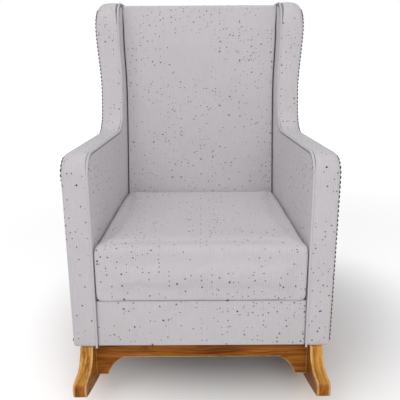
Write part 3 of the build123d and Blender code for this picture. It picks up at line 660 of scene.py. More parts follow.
def wood_grain_group():
    """Straight grain along X of the given place, with growth lines, pores, rubbed edges with painted
    highlights, and faces and ends darkened by stain and painted shade.
    """
    n, given, out = shader_group(
        "Wood grain",
        [
            ("Place", "NodeSocketVector", None),
            ("Light", "NodeSocketColor", None),
            ("Dark", "NodeSocketColor", None),
            ("Edge", "NodeSocketFloat", 0.0),
            ("Edge rub and highlight", "NodeSocketColor", None),
            ("Figure", "NodeSocketFloat", 1.0),
            ("Band", "NodeSocketFloat", 1.0),
            ("Face stain and shade", "NodeSocketColor", None),
            ("End", "NodeSocketFloat", 10.0),
        ],
        [("Color", "NodeSocketColor"), ("Roughness", "NodeSocketFloat"), ("Height", "NodeSocketFloat")],
    )
    place = given["Place"]
    drift = n.noise(n.stretch(place, (2.2, 9.0, 9.0)), 1.0, 2.0, output="Color")
    bent = n.add(
        "ShaderNodeVectorMath", {0: drift, 1: (0.0, 0.05, 0.05), 2: place}, operation="MULTIPLY_ADD"
    ).outputs[0]
    growth = n.noise(n.stretch(bent, (3.0, 95.0, 95.0)), 1.0, 4.0, 0.6)
    fine = n.noise(n.stretch(bent, (14.0, 620.0, 620.0)), 1.0, 3.0, 0.6)
    pores = n.ramp(n.noise(n.stretch(bent, (60.0, 1400.0, 1400.0)), 1.0, 2.0), 0.60, 0.72)
    blotch = n.noise(n.stretch(place, (5.0, 14.0, 14.0)), 1.0, 2.0)
    tone = n.math("ADD", n.math("MULTIPLY", growth, 0.62), n.math("MULTIPLY", fine, 0.30))
    tone = n.math("ADD", tone, n.math("MULTIPLY", n.math("SUBTRACT", blotch, 0.5), 0.35))
    tone = n.math("MULTIPLY", n.ramp(tone, 0.34, 0.64), given["Figure"])
    color = n.mix(tone, given["Light"], given["Dark"])
    color = n.mix(n.math("MULTIPLY", pores, 0.45), color, given["Dark"])
    # Flat faces and ends take the face colour: deeper stain and end grain, with painted shade on faces turned
    # from the light.
    far = n.math("ABSOLUTE", n.add("ShaderNodeSeparateXYZ", {0: place}).outputs[0])
    end = n.ramp(far, n.math("SUBTRACT", given["End"], 9 * MM), given["End"])
    stained = n.math("MAXIMUM", n.math("SUBTRACT", 1.0, given["Band"]), end)
    color = n.mix(stained, color, given["Face stain and shade"], "MULTIPLY")
    # Lighter rubbed edges, partly rubbed-off stain and partly painted highlights along the softened edges.
    rub_and_highlight = n.math("MULTIPLY", n.ramp(given["Edge"], 0.5, 1.0), n.ramp(n.noise(place, 45.0, 3.0), 0.2, 0.6))
    color = n.mix(n.math("MULTIPLY", rub_and_highlight, 0.75), color, given["Edge rub and highlight"])
    links = n.tree.links
    links.new(color, out.inputs["Color"])
    links.new(n.math("MULTIPLY_ADD", fine, 0.18, 0.24), out.inputs["Roughness"])
    links.new(n.math("MULTIPLY_ADD", pores, -0.6, n.math("MULTIPLY", fine, 0.4)), out.inputs["Height"])
    return n.tree


def speckle_group():
    """Soft mottling between two colours at a given scale, for felt, cloth, webbing, plastic and metal."""
    n, given, out = shader_group(
        "Mottle",
        [
            ("Place", "NodeSocketVector", None),
            ("Light", "NodeSocketColor", None),
            ("Dark", "NodeSocketColor", None),
            ("Scale", "NodeSocketFloat", 60.0),
        ],
        [("Color", "NodeSocketColor"), ("Height", "NodeSocketFloat"), ("Mask", "NodeSocketFloat")],
    )
    broad = n.noise(given["Place"], n.math("MULTIPLY", given["Scale"], 0.2), 3.0)
    small = n.noise(given["Place"], given["Scale"], 4.0, 0.65)
    mask = n.ramp(n.math("ADD", n.math("MULTIPLY", broad, 0.5), n.math("MULTIPLY", small, 0.5)), 0.36, 0.64)
    links = n.tree.links
    links.new(n.mix(mask, given["Light"], given["Dark"]), out.inputs["Color"])
    links.new(small, out.inputs["Height"])
    links.new(mask, out.inputs["Mask"])
    return n.tree


groups = {}


def new_material(name):
    """Material with a Principled shader, and the helper for its tree."""
    material = bpy.data.materials.new(name)
    material.use_nodes = True
    tree = material.node_tree
    return material, Nodes(tree), tree.nodes["Principled BSDF"]


def bumped(n, shader, height, strength, distance):
    """Feed a height to a shader's normal."""
    bump = n.add("ShaderNodeBump", {"Height": height, "Strength": strength, "Distance": distance})
    n.tree.links.new(bump.outputs["Normal"], shader.inputs["Normal"])


def cloth_material(name, settings, flecks=1.0, bump=0.55, turned=False, painted_shade=False):
    """The upholstery cloth, on the piece's own cloth map."""
    material, n, shader = new_material(name)
    place = n.add("ShaderNodeUVMap", uv_map="cloth").outputs[0]
    if turned:
        place = n.add("ShaderNodeMapping", {"Vector": place, "Rotation": (0, 0, math.radians(45))}).outputs[0]
    weave = n.add("ShaderNodeGroup", node_tree=groups["cloth"])
    n.tree.links.new(place, weave.inputs["Cloth place"])
    weave.inputs["Cloth"].default_value = (*settings.base, 1)
    weave.inputs["Shade"].default_value = (*settings.shade, 1)
    weave.inputs["Fleck"].default_value = (*settings.fleck, 1)
    weave.inputs["Threads per metre"].default_value = 1 / settings.thread
    weave.inputs["Ribs per metre"].default_value = 1 / settings.rib
    weave.inputs["Fleck amount"].default_value = flecks
    # The crevice_shade attribute feeds the weave's painted crevice shade.
    if painted_shade:
        crevice_shade = n.add("ShaderNodeAttribute", attribute_name="crevice_shade").outputs["Fac"]
        n.tree.links.new(crevice_shade, weave.inputs["Seam"])
    n.tree.links.new(weave.outputs["Color"], shader.inputs["Base Color"])
    n.tree.links.new(weave.outputs["Roughness"], shader.inputs["Roughness"])
    shader.inputs["Sheen Weight"].default_value = 0.25
    shader.inputs["Sheen Roughness"].default_value = 0.5
    shader.inputs["Specular IOR Level"].default_value = 0.2
    bumped(n, shader, weave.outputs["Height"], bump, 0.4 * MM)
    return material


# tint is the colour of the rubbed edges with their painted highlights; face darkens the flat faces with stain
# and painted shade.
def wood_material(name, light, dark, along="X", figure=1.0, coat=0.0, tint=(0.9, 0.58, 0.24), face=(1, 1, 1),
                  end=10.0, rub_and_painted_light=False, layers=(1, 1, 1)):
    """Wood whose grain runs along X, Y or Z of the object.

    layers squeezes or draws out the growth lines along each of the object's axes.
    """
    material, n, shader = new_material(name)
    place = n.add("ShaderNodeTexCoord").outputs["Object"]
    turn = {"X": (0, 0, 0), "Y": (0, 0, -math.pi / 2), "Z": (0, math.pi / 2, 0)}[along]
    place = n.add("ShaderNodeMapping", {"Vector": place, "Rotation": turn, "Scale": layers}).outputs[0]
    grain = n.add("ShaderNodeGroup", node_tree=groups["wood"])
    n.tree.links.new(place, grain.inputs["Place"])
    grain.inputs["Light"].default_value = (*light, 1)
    grain.inputs["Dark"].default_value = (*dark, 1)
    grain.inputs["Edge rub and highlight"].default_value = (*tint, 1)
    grain.inputs["Figure"].default_value = figure
    grain.inputs["Face stain and shade"].default_value = (*face, 1)
    grain.inputs["End"].default_value = end
    if rub_and_painted_light:
        edge = n.add("ShaderNodeAttribute", attribute_name="edge").outputs["Fac"]
        n.tree.links.new(edge, grain.inputs["Edge"])
        band = n.add("ShaderNodeAttribute", attribute_name="band").outputs["Fac"]
        n.tree.links.new(band, grain.inputs["Band"])
    n.tree.links.new(grain.outputs["Color"], shader.inputs["Base Color"])
    n.tree.links.new(grain.outputs["Roughness"], shader.inputs["Roughness"])
    shader.inputs["Specular IOR Level"].default_value = 0.1
    shader.inputs["Coat Weight"].default_value = coat
    shader.inputs["Coat Roughness"].default_value = 0.12
    bumped(n, shader, grain.outputs["Height"], 0.25, 0.15 * MM)
    return material


def mottled_material(name, light, dark, scale, roughness, metallic, bump):
    """Plain material with the mottling that its finish has."""
    material, n, shader = new_material(name)
    place = n.add("ShaderNodeTexCoord").outputs["Object"]
    mottle = n.add("ShaderNodeGroup", node_tree=groups["mottle"])
    n.tree.links.new(place, mottle.inputs["Place"])
    mottle.inputs["Light"].default_value = (*light, 1)
    mottle.inputs["Dark"].default_value = (*dark, 1)
    mottle.inputs["Scale"].default_value = scale
    n.tree.links.new(mottle.outputs["Color"], shader.inputs["Base Color"])
    rough = n.math("MULTIPLY_ADD", mottle.outputs["Mask"], 0.2, roughness)
    n.tree.links.new(rough, shader.inputs["Roughness"])
    shader.inputs["Metallic"].default_value = metallic
    bumped(n, shader, mottle.outputs["Height"], bump, 0.3 * MM)
    return material


# ---------------------------------------------------------------- operators
class ROCKER_OT_finishes(bpy.types.Operator):
    """Make the cloth, wood, metal and padding finishes."""

    bl_idname = "rocker.finishes"
    bl_label = "Finishes"

    def execute(self, context):
        scene = context.scene
        cloth, wood, nails = scene.rocker_fabric, scene.rocker_wood, scene.rocker_nails
        groups["cloth"] = woven_cloth_group()
        groups["wood"] = wood_grain_group()
        groups["mottle"] = speckle_group()
        light, dark = tuple(wood.light), tuple(wood.dark)
        bronze = tuple(nails.bronze)
        rubbed = tuple(min(1.0, 2.4 * c) for c in bronze)
        # The upholstery cloth carries the painted crevice shade; the piping does not.
        materials["cloth"] = cloth_material("upholstery_cloth", cloth, painted_shade=True)
        materials["piping"] = cloth_material("piping_cloth", cloth, flecks=0.35, turned=True)
        # face: deeper stain and painted shade on the boards' flat faces and the rockers' ends.
        face = tuple(wood.face)
        materials["rocker"] = wood_material(
            "rocker_wood", light, dark, "Y", coat=0.04, face=face, end=ROCKER_HIGH.y, rub_and_painted_light=True,
            layers=(1, 1, 0.16)
        )
        materials["apron"] = wood_material("apron_wood", light, dark, "X", coat=0.02, face=face, rub_and_painted_light=True)
        beech, beech_dark = (0.62, 0.44, 0.26), (0.46, 0.30, 0.16)
        for axis in "XYZ":
            name = "timber_" + axis.lower()
            materials["timber_" + axis] = wood_material(name, beech, beech_dark, axis, 0.8)
        materials["plywood"] = wood_material("plywood", (0.68, 0.53, 0.35), (0.5, 0.36, 0.21), "Z", 0.7)
        mottled = {
            # name: (material, light, dark, mottles per metre, roughness, metallic, bump)
            "nails": ("antique_nails", bronze, rubbed, 260.0, 0.30, 1.0, 0.35),
            "zinc": ("zinc_steel", (0.6, 0.61, 0.63), (0.42, 0.43, 0.46), 300.0, 0.3, 1.0, 0.3),
            "spring": ("spring_lacquer", (0.05, 0.05, 0.05), (0.02, 0.02, 0.02), 200.0, 0.4, 0.0, 0.3),
            "clip": ("clip_plastic", (0.8, 0.79, 0.74), (0.7, 0.69, 0.64), 300.0, 0.5, 0.0, 0.3),
            "felt": ("felt", (0.3, 0.3, 0.31), (0.15, 0.15, 0.16), 420.0, 0.9, 0.0, 0.8),
            "dust": ("dust_cloth", (0.035, 0.035, 0.04), (0.015, 0.015, 0.018), 700.0, 0.85, 0.0, 0.3),
            "jute": ("jute_webbing", (0.5, 0.38, 0.22), (0.3, 0.21, 0.11), 500.0, 0.85, 0.0, 0.9),
            "zip": ("zip_tape", (0.45, 0.44, 0.47), (0.36, 0.35, 0.38), 600.0, 0.75, 0.0, 0.3),
            "slider": ("zip_enamel", (0.4, 0.39, 0.42), (0.3, 0.29, 0.32), 200.0, 0.35, 0.0, 0.3),
        }
        for finish, values in mottled.items():
            materials[finish] = mottled_material(*values)
        return {"FINISHED"}


class ROCKER_OT_timber(bpy.types.Operator):
    """Give the timber, springs, webbing and fasteners inside their finishes."""

    bl_idname = "rocker.timber"
    bl_label = "Inside pieces"

    def execute(self, context):
        finishes = {
            "timber_X": [
                "seat_front_rail", "seat_rear_rail", "back_lower_rail", "back_top_rail", "apron_dowels",
            ],
            "timber_Y": ["seat_corner_blocks", "base_corner_blocks"],
            "zinc": ["base_bolts", "base_washers", "t_nuts"],
            "spring": ["zigzag_springs"],
            "clip": ["spring_clips"],
            "felt": ["seat_deck"],
            "dust": ["dust_cover"],
            "jute": ["back_webbing"],
        }
        for side in ("right", "left"):
            finishes["timber_Y"] += [f"{side}_bottom_rail", f"{side}_arm_rail"]
            finishes.setdefault("timber_Z", []).extend([f"{side}_front_post", f"{side}_rear_post"])
            finishes.setdefault("plywood", []).append(f"{side}_wing_board")
        for finish, names in finishes.items():
            for name in names:
                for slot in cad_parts[name].material_slots:
                    slot.material = materials[finish]
        return {"FINISHED"}


class ROCKER_OT_sides(bpy.types.Operator):
    """Upholster the two sides, each with its arm, wing and front band in one sweep."""

    bl_idname = "rocker.sides"
    bl_label = "Sides"

    def execute(self, context):
        settings = context.scene.rocker_sides
        line = side_outline(settings)
        radii = outer_edge(settings, line)
        inner_radii = 3 * MM + (radii - settings.edge) * 0.37
        for side, hand in (("right", 1), ("left", -1)):

            def span(flat, hand=hand):
                outer = side_point(flat, lean(flat[:, 1]), hand)
                return outer, side_point(flat, inner_line(flat[:, 1]), hand)

            # Painted shade along the inner edge: a dark line for the crevice where the side meets the back
            # and the seat.
            obj = rounded_slab(
                f"{side}_side", line, span, radii, inner_radii, crown=settings.crown, swell_a=2.5 * MM,
                swell_b=0.8 * MM, painted_shade=(0, 0, 1),
            )
            upholstered(obj, BODY, 0.7, f"{side}_side_cover", f"{side}_side_padding")
        return {"FINISHED"}


def front_path(settings, inset, outwards, hand, tail=0.0):
    """Points up a side's front, over the arm and up the wing, a way in from the edge."""
    line = side_outline(settings, step=5 * MM)
    line = line + inward_normals(line) * np.broadcast_to(inset(line), len(line))[:, None]
    start = int(np.argmin(np.hypot(line[:, 0], line[:, 1] - (BODY_Z + 14 * MM))))
    line = np.roll(line, -start, axis=0)
    if line[10, 1] < line[0, 1]:
        line = line[::-1]
    end = int(np.argmax(line[:, 0] > rear_depth(line[:, 1]) - 34 * MM))
    line = line[:end]
    foot = np.array([[line[0, 0], BODY_Z - tail]])
    line = respace(np.vstack([foot, line]), 6 * MM)
    return side_point(line, outwards(line[:, 1]), hand)


def path_object(name, points):
    """Open polyline curve object through points."""
    curve = bpy.data.curves.new(name, "CURVE")
    curve.dimensions = "3D"
    spline = curve.splines.new("POLY")
    spline.points.add(len(points) - 1)
    spline.points.foreach_set("co", np.column_stack([points, np.ones(len(points))]).ravel())
    obj = bpy.data.objects.new(name, curve)
    bpy.context.scene.collection.objects.link(obj)
    return obj


class GeometryTree:
    """Geometry Nodes tree with named inputs, run over a carrier object and turned into a plain mesh."""

    def __init__(self, name, inputs):
        self.tree = bpy.data.node_groups.new(name, "GeometryNodeTree")
        self.tree.interface.new_socket("Geometry", in_out="INPUT", socket_type="NodeSocketGeometry")
        for label, kind in inputs:
            self.tree.interface.new_socket(label, in_out="INPUT", socket_type=kind)
        self.tree.interface.new_socket("Geometry", in_out="OUTPUT", socket_type="NodeSocketGeometry")
        self.given = self.tree.nodes.new("NodeGroupInput").outputs
        self.nodes = Nodes(self.tree)

    def end(self, geometry):
        """Close the tree: real geometry with the piece's material."""
        real = self.nodes.add("GeometryNodeRealizeInstances", {"Geometry": geometry}).outputs[0]
        smooth = self.nodes.add("GeometryNodeSetShadeSmooth", {"Geometry": real}).outputs[0]
        inputs = {"Geometry": smooth, "Material": self.given["Material"]}
        done = self.nodes.add("GeometryNodeSetMaterial", inputs)
        out = self.tree.nodes.new("NodeGroupOutput")
        self.tree.links.new(done.outputs[0], out.inputs[0])

    def run(self, name, carrier, values):
        """Mesh object that the tree makes from a carrier, which is removed."""
        modifier = carrier.modifiers.new("shape", "NODES")
        modifier.node_group = self.tree
        for item in self.tree.interface.items_tree:
            if item.item_type == "SOCKET" and item.in_out == "INPUT" and item.name in values:
                modifier[item.identifier] = values[item.name]
        bpy.context.view_layer.update()
        graph = bpy.context.evaluated_depsgraph_get()
        mesh = bpy.data.meshes.new_from_object(carrier.evaluated_get(graph))
        carrier.modifiers.remove(modifier)
        bpy.data.objects.remove(carrier)
        if not len(mesh.polygons):
            raise RuntimeError(f"{name}: the tree made no faces")
        mesh.name = name
        obj = bpy.data.objects.new(name, mesh)
        bpy.context.scene.collection.objects.link(obj)
        tidy_mesh(mesh)
        return obj


class ROCKER_OT_piping(bpy.types.Operator):
    """Run a covered cord along the inner edge of each band."""

    bl_idname = "rocker.piping"
    bl_label = "Piping"

    def execute(self, context):
        settings = context.scene.rocker_sides
        inputs = [("Radius", "NodeSocketFloat"), ("Material", "NodeSocketMaterial")]
        tree = GeometryTree("Piping", inputs)
        n = tree.nodes
        ring = n.add("GeometryNodeCurvePrimitiveCircle", {"Resolution": 12, "Radius": tree.given["Radius"]})
        inputs = {"Curve": tree.given["Geometry"], "Profile Curve": ring.outputs[0]}
        tube = n.add("GeometryNodeCurveToMesh", inputs)
        tube.inputs["Fill Caps"].default_value = True
        tree.end(tube.outputs[0])
        for side, hand in (("right", 1), ("left", -1)):
            points = front_path(
                settings, lambda line: 0.4 * MM, lambda z: inner_line(z) + 2.4 * MM, hand, tail=2 * MM
            )
            values = {"Radius": settings.piping, "Material": materials["piping"]}
            obj = tree.run(f"{side}_piping_cord", path_object("piping_path", points), values)
            lay_cloth(obj)
            finish_piece(obj, materials["piping"], BODY, "piping_fabric", f"{side}_piping")
        return {"FINISHED"}


class ROCKER_OT_nails(bpy.types.Operator):
    """Drive a line of domed nails along the outer edge of each side."""

    bl_idname = "rocker.nails"
    bl_label = "Nailhead trim"

    def execute(self, context):
        settings, sides = context.scene.rocker_nails, context.scene.rocker_sides
        inputs = [
            ("Pitch", "NodeSocketFloat"),
            ("Head", "NodeSocketFloat"),
            ("Height", "NodeSocketFloat"),
            ("Outwards", "NodeSocketVector"),
            ("Seed", "NodeSocketInt"),
            ("Material", "NodeSocketMaterial"),
        ]
        tree = GeometryTree("Nailhead trim", inputs)
        n, given = tree.nodes, tree.given
        spots = n.add(
            "GeometryNodeResampleCurve", {"Curve": given["Geometry"], "Length": given["Pitch"]}, mode="LENGTH"
        )
        flat = n.add("ShaderNodeMath", {0: given["Height"], 1: given["Head"]}, operation="DIVIDE").outputs[0]
        dome = n.add("GeometryNodeMeshUVSphere", {"Segments": 12, "Rings": 7, "Radius": given["Head"]})
        squash = n.add("ShaderNodeCombineXYZ", {0: 1.0, 1: 1.0, 2: flat})
        head = n.add("GeometryNodeTransform", {"Geometry": dome.outputs[0], "Scale": squash.outputs[0]})
        facing = n.add("FunctionNodeAlignRotationToVector", {"Vector": given["Outwards"]}, axis="Z")
        inputs = {"Min": (-0.05, -0.05, 0.0), "Max": (0.05, 0.05, 6.28), "Seed": given["Seed"]}
        tilt = n.add("FunctionNodeRandomValue", inputs, data_type="FLOAT_VECTOR")
        spin = n.add("FunctionNodeEulerToRotation", {"Euler": tilt.outputs[0]})
        turned = n.add(
            "FunctionNodeRotateRotation",
            {"Rotation": facing.outputs[0], "Rotate By": spin.outputs[0]}, rotation_space="LOCAL",
        )
        nails = n.add(
            "GeometryNodeInstanceOnPoints",
            {"Points": spots.outputs[0], "Instance": head.outputs[0], "Rotation": turned.outputs[0]},
        )
        tree.end(nails.outputs[0])
        for seed, (side, hand) in enumerate((("right", 1), ("left", -1))):
            stray = settings.stray if hand < 0 else 0.0

            def inset(line, stray=stray):
                low = 1 - soft_step(line[:, 1], ARM_Z - 85 * MM, ARM_Z - 45 * MM)
                return settings.inset + 0.75 * (outer_edge(sides, line) - sides.edge) + stray * low

            points = front_path(sides, inset, lean, hand)
            outwards = OUTWARDS * (hand, 1, 1)
            keep = points[:, 2] > BODY_Z + 16 * MM
            values = {
                "Pitch": settings.pitch, "Head": settings.head, "Height": settings.height,
                "Outwards": tuple(outwards), "Seed": seed, "Material": materials["nails"],
            }
            obj = tree.run(f"{side}_nails", path_object("nail_path", points[keep]), values)
            finish_piece(obj, materials["nails"], BODY, "antique_nails", f"{side}_nail_trim")
        return {"FINISHED"}


def inner_half(depth, height):
    """Half the width between the sides' inner faces at a depth and a height."""
    return OUTER_HALF + inner_line(height) / math.cos(TOE_ANGLE) - TOE_IN * depth


class ROCKER_OT_inside_back(bpy.types.Operator):
    """Stretch the padded panel between the wings."""

    bl_idname = "rocker.inside_back"
    bl_label = "Inside back"

    def execute(self, context):
        heights = np.linspace(BACK_LOW.z, BACK_TOP_Z, 24)
        gaps = 4.5 * MM - 3.7 * MM * soft_step(heights, BACK_TOP_Z - 60 * MM, BACK_TOP_Z - 15 * MM)
        halves = inner_half(rear_depth(heights) - BACK_THICKNESS, heights) - gaps
        right = [(h, z) for h, z in zip(halves, heights)]
        outline = np.array(right[::-1] + [(-h, z) for h, z in right])
        outline = np.vstack([[(-halves[-1], BACK_TOP_Z)], outline[:-1]])
        line = respace(outline, 8 * MM, closed=True)
        cornered = (line[:, 1] > BACK_TOP_Z - 1 * MM) | (line[:, 1] < BACK_LOW.z + 1 * MM)
        front_edge = np.where(cornered, 8 * MM, 4.5 * MM)
        front_edge = (np.roll(front_edge, 1) + front_edge + np.roll(front_edge, -1)) / 3
        # Painted crevice shade around the panel's edges, fading out near the top where the crevice is not
        # dark.
        crevice = 1 - soft_step(line[:, 1], BACK_TOP_Z - 35 * MM, BACK_TOP_Z - 10 * MM)

        def span(flat):
            rear = FRONT_Y + rear_depth(flat[:, 1])
            front = np.column_stack([flat[:, 0], rear - BACK_THICKNESS, flat[:, 1]])
            return front, np.column_stack([flat[:, 0], rear - 1 * MM, flat[:, 1]])

        obj = rounded_slab("inside_back", line, span, front_edge, 3 * MM, swell_a=5 * MM, swell_reach=70 * MM,
                           painted_shade=(crevice, crevice, crevice))
        upholstered(obj, BODY, 0.75, "back_cover", "back_padding")
        return {"FINISHED"}


class ROCKER_OT_outside_back(bpy.types.Operator):
    """Stretch the cloth panel over the chair's back."""

    bl_idname = "rocker.outside_back"
    bl_label = "Outside back"

    def execute(self, context):
        low, high = OUTSIDE_LOW.z, OUTSIDE_HIGH.z
        heights = np.linspace(low, high, 30)
        halves = OUTER_HALF - TOE_IN * rear_depth(heights) + lean(heights) - 1.5 * MM
        right = list(zip(halves, heights))
        outline = np.array([(-h, z) for h, z in right] + right[::-1])
        line = respace(outline, 9 * MM, closed=True)
        thickness = 5 * MM

        def span(flat):
            rear = FRONT_Y + rear_depth(flat[:, 1])
            outer = np.column_stack([flat[:, 0], rear + thickness, flat[:, 1]])
            return outer, np.column_stack([flat[:, 0], rear - 0.5 * MM, flat[:, 1]])

        obj = rounded_slab(
            "outside_back_panel", line, span, 2.5 * MM, 0.8 * MM, swell_a=1.2 * MM, band_rings=3, edge_rings=3
        )
        upholstered(obj, BODY, 0.9, "outside_back")
        return {"FINISHED"}


class ROCKER_OT_border(bpy.types.Operator):
    """Cover the front border under the seat cushion."""

    bl_idname = "rocker.border"
    bl_label = "Front border"

    def execute(self, context):
        low, high = BORDER_LOW.z - 0.5 * MM, BORDER_HIGH.z
        heights = np.linspace(low, high, 8)
        halves = inner_half(BORDER_SETBACK, heights) - 0.5 * MM
        right = list(zip(halves, heights))
        outline = np.array([(-h, z) for h, z in right] + right[::-1])
        line = respace(outline, 8 * MM, closed=True)
        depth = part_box("front_border_padding")[1].y

        def span(flat):
            front = np.column_stack([flat[:, 0], np.full(len(flat), BORDER_LOW.y), flat[:, 1]])
            return front, np.column_stack([flat[:, 0], np.full(len(flat), depth), flat[:, 1]])

        # Painted shade over the border's whole rim: the dark line under the cushion's front edge.
        obj = rounded_slab(
            "front_border", line, span, 4.5 * MM, 1 * MM, swell_a=2.5 * MM, swell_reach=30 * MM, band_rings=4,
            painted_shade=(1, 1, 1),
        )
        upholstered(obj, BODY, 0.7, "front_border_cover", "front_border_padding")
        return {"FINISHED"}


class ROCKER_OT_cushion(bpy.types.Operator):
    """Stuff the loose seat cushion: its cloth is blown up from a tight block by simulation."""

    bl_idname = "rocker.cushion"
    bl_label = "Seat cushion"

    def execute(self, context):
        settings = context.scene.rocker_cushion
        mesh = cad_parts["seat_cushion_foam"].data.copy()
        work = bmesh.new()
        work.from_mesh(mesh)
        bmesh.ops.remove_doubles(work, verts=work.verts, dist=1e-5)
        work.to_mesh(mesh)
        work.free()
        obj = bpy.data.objects.new("seat_cushion_cloth", mesh)
        context.scene.collection.objects.link(obj)
        remesh = obj.modifiers.new("weave", "REMESH")
        remesh.mode = "VOXEL"
        remesh.voxel_size = settings.voxel
        bake_modifiers(obj)
        tight = vertex_array(obj)
        middle = (CUSHION_LOW.z + CUSHION_HIGH.z) / 2
        rearward = soft_step(tight[:, 1], FRONT_Y + 40 * MM, FRONT_Y + 400 * MM)
        tight[:, 2] += settings.rise * rearward * soft_step(tight[:, 2], middle, CUSHION_HIGH.z - 10 * MM)
        set_vertices(obj, tight)
        outwards = vertex_normals(obj)
        start = tight
        swell_cloth(obj, settings)
        moved = vertex_array(obj) - start
        far = np.linalg.norm(moved, axis=1)
        moved *= np.minimum(1, settings.reach / np.maximum(far, 1e-9))[:, None]
        along = (moved * outwards).sum(axis=1)
        moved += outwards * (np.maximum(along, 0) - along)[:, None]
        set_vertices(obj, self.fit_seat(start + moved + outwards * SKIN, start[:, 1]))
        smooth = obj.modifiers.new("ease", "SMOOTH")
        smooth.factor = 0.5
        smooth.iterations = 5
        divide = obj.modifiers.new("divide", "SUBSURF")
        divide.levels = divide.render_levels = 1
        bake_modifiers(obj)
        obj.data.polygons.foreach_set("use_smooth", [True] * len(obj.data.polygons))
        upholstered(obj, CUSHION_BODY, 0.7, "seat_cushion_cover", "seat_cushion_foam")
        return {"FINISHED"}

    def fit_seat(self, points, depth):
        """Press the swollen cushion back where it meets the deck, the arms and the back.

        depth is how far back each point stood before it swelled.
        """
        arm = (SIDE_ARM_WIDTH + 0.6 * MM) / math.cos(TOE_ANGLE)
        side = OUTER_HALF - arm - TOE_IN * (points[:, 1] - FRONT_Y)
        corner = soft_step(np.abs(points[:, 0]), side - 32 * MM, side - 5 * MM)
        corner *= 1 - soft_step(points[:, 1], FRONT_Y - 1 * MM, FRONT_Y + 26 * MM)
        points[:, 0] += np.sign(points[:, 0]) * 12 * MM * corner
        points[:, 1] -= 8 * MM * corner
        overhang = soft_step(-points[:, 1], 1 * MM - FRONT_Y, 6 * MM - FRONT_Y)
        points[:, 0] = np.clip(points[:, 0], -side - 9 * MM * overhang, side + 9 * MM * overhang)
        low = np.clip((CUSHION_HIGH.z - points[:, 2]) / (CUSHION_HIGH.z - CUSHION_LOW.z), 0, 1)
        face = 1 - soft_step(depth, depth.min(), depth.min() + 6 * MM)
        points[:, 2] = np.maximum(points[:, 2], CUSHION_LOW.z + 0.3 * MM) - 11 * MM * face * low
        rear = FRONT_Y + rear_depth(points[:, 2]) - BACK_THICKNESS - 12 * MM
        points[:, 1] = np.minimum(points[:, 1], rear)
        points[:, 1] = np.maximum(points[:, 1], FRONT_Y - 11 * MM)
        return points


def vertex_array(obj):
    """Places of a mesh's vertices."""
    flat = np.zeros(len(obj.data.vertices) * 3, np.float32)
    obj.data.vertices.foreach_get("co", flat)
    return flat.reshape(-1, 3).astype(float)


def set_vertices(obj, points):
    """Move a mesh's vertices to new places."""
    obj.data.vertices.foreach_set("co", points.ravel().astype(np.float32))
    obj.data.update()


def vertex_normals(obj):
    """Normals of a mesh's vertices."""
    flat = np.zeros(len(obj.data.vertices) * 3, np.float32)
    obj.data.vertex_normals.foreach_get("vector", flat)
    return flat.reshape(-1, 3).astype(float)


def bake_modifiers(obj):
    """Replace an object's mesh by what its modifiers make of it."""
    bpy.context.view_layer.update()
    graph = bpy.context.evaluated_depsgraph_get()
    mesh = bpy.data.meshes.new_from_object(obj.evaluated_get(graph))
    obj.modifiers.clear()
    obj.data = mesh


def swell_cloth(obj, settings):
    """Run the cloth simulation that fills a closed cover."""
    scene = bpy.context.scene
    cloth = obj.modifiers.new("filling", "CLOTH")
    cloth.settings.quality = 5
    cloth.settings.mass = 0.3
    cloth.settings.tension_stiffness = 25
    cloth.settings.compression_stiffness = 25
    cloth.settings.shear_stiffness = 12
    cloth.settings.bending_stiffness = 4
    cloth.settings.use_pressure = True
    cloth.settings.uniform_pressure_force = settings.pressure
    cloth.settings.effector_weights.gravity = 0
    cloth.collision_settings.use_collision = False
    cloth.point_cache.frame_start = 1
    cloth.point_cache.frame_end = settings.frames
    for number in range(1, settings.frames + 1):
        scene.frame_set(number)
    bake_modifiers(obj)
    scene.frame_set(1)


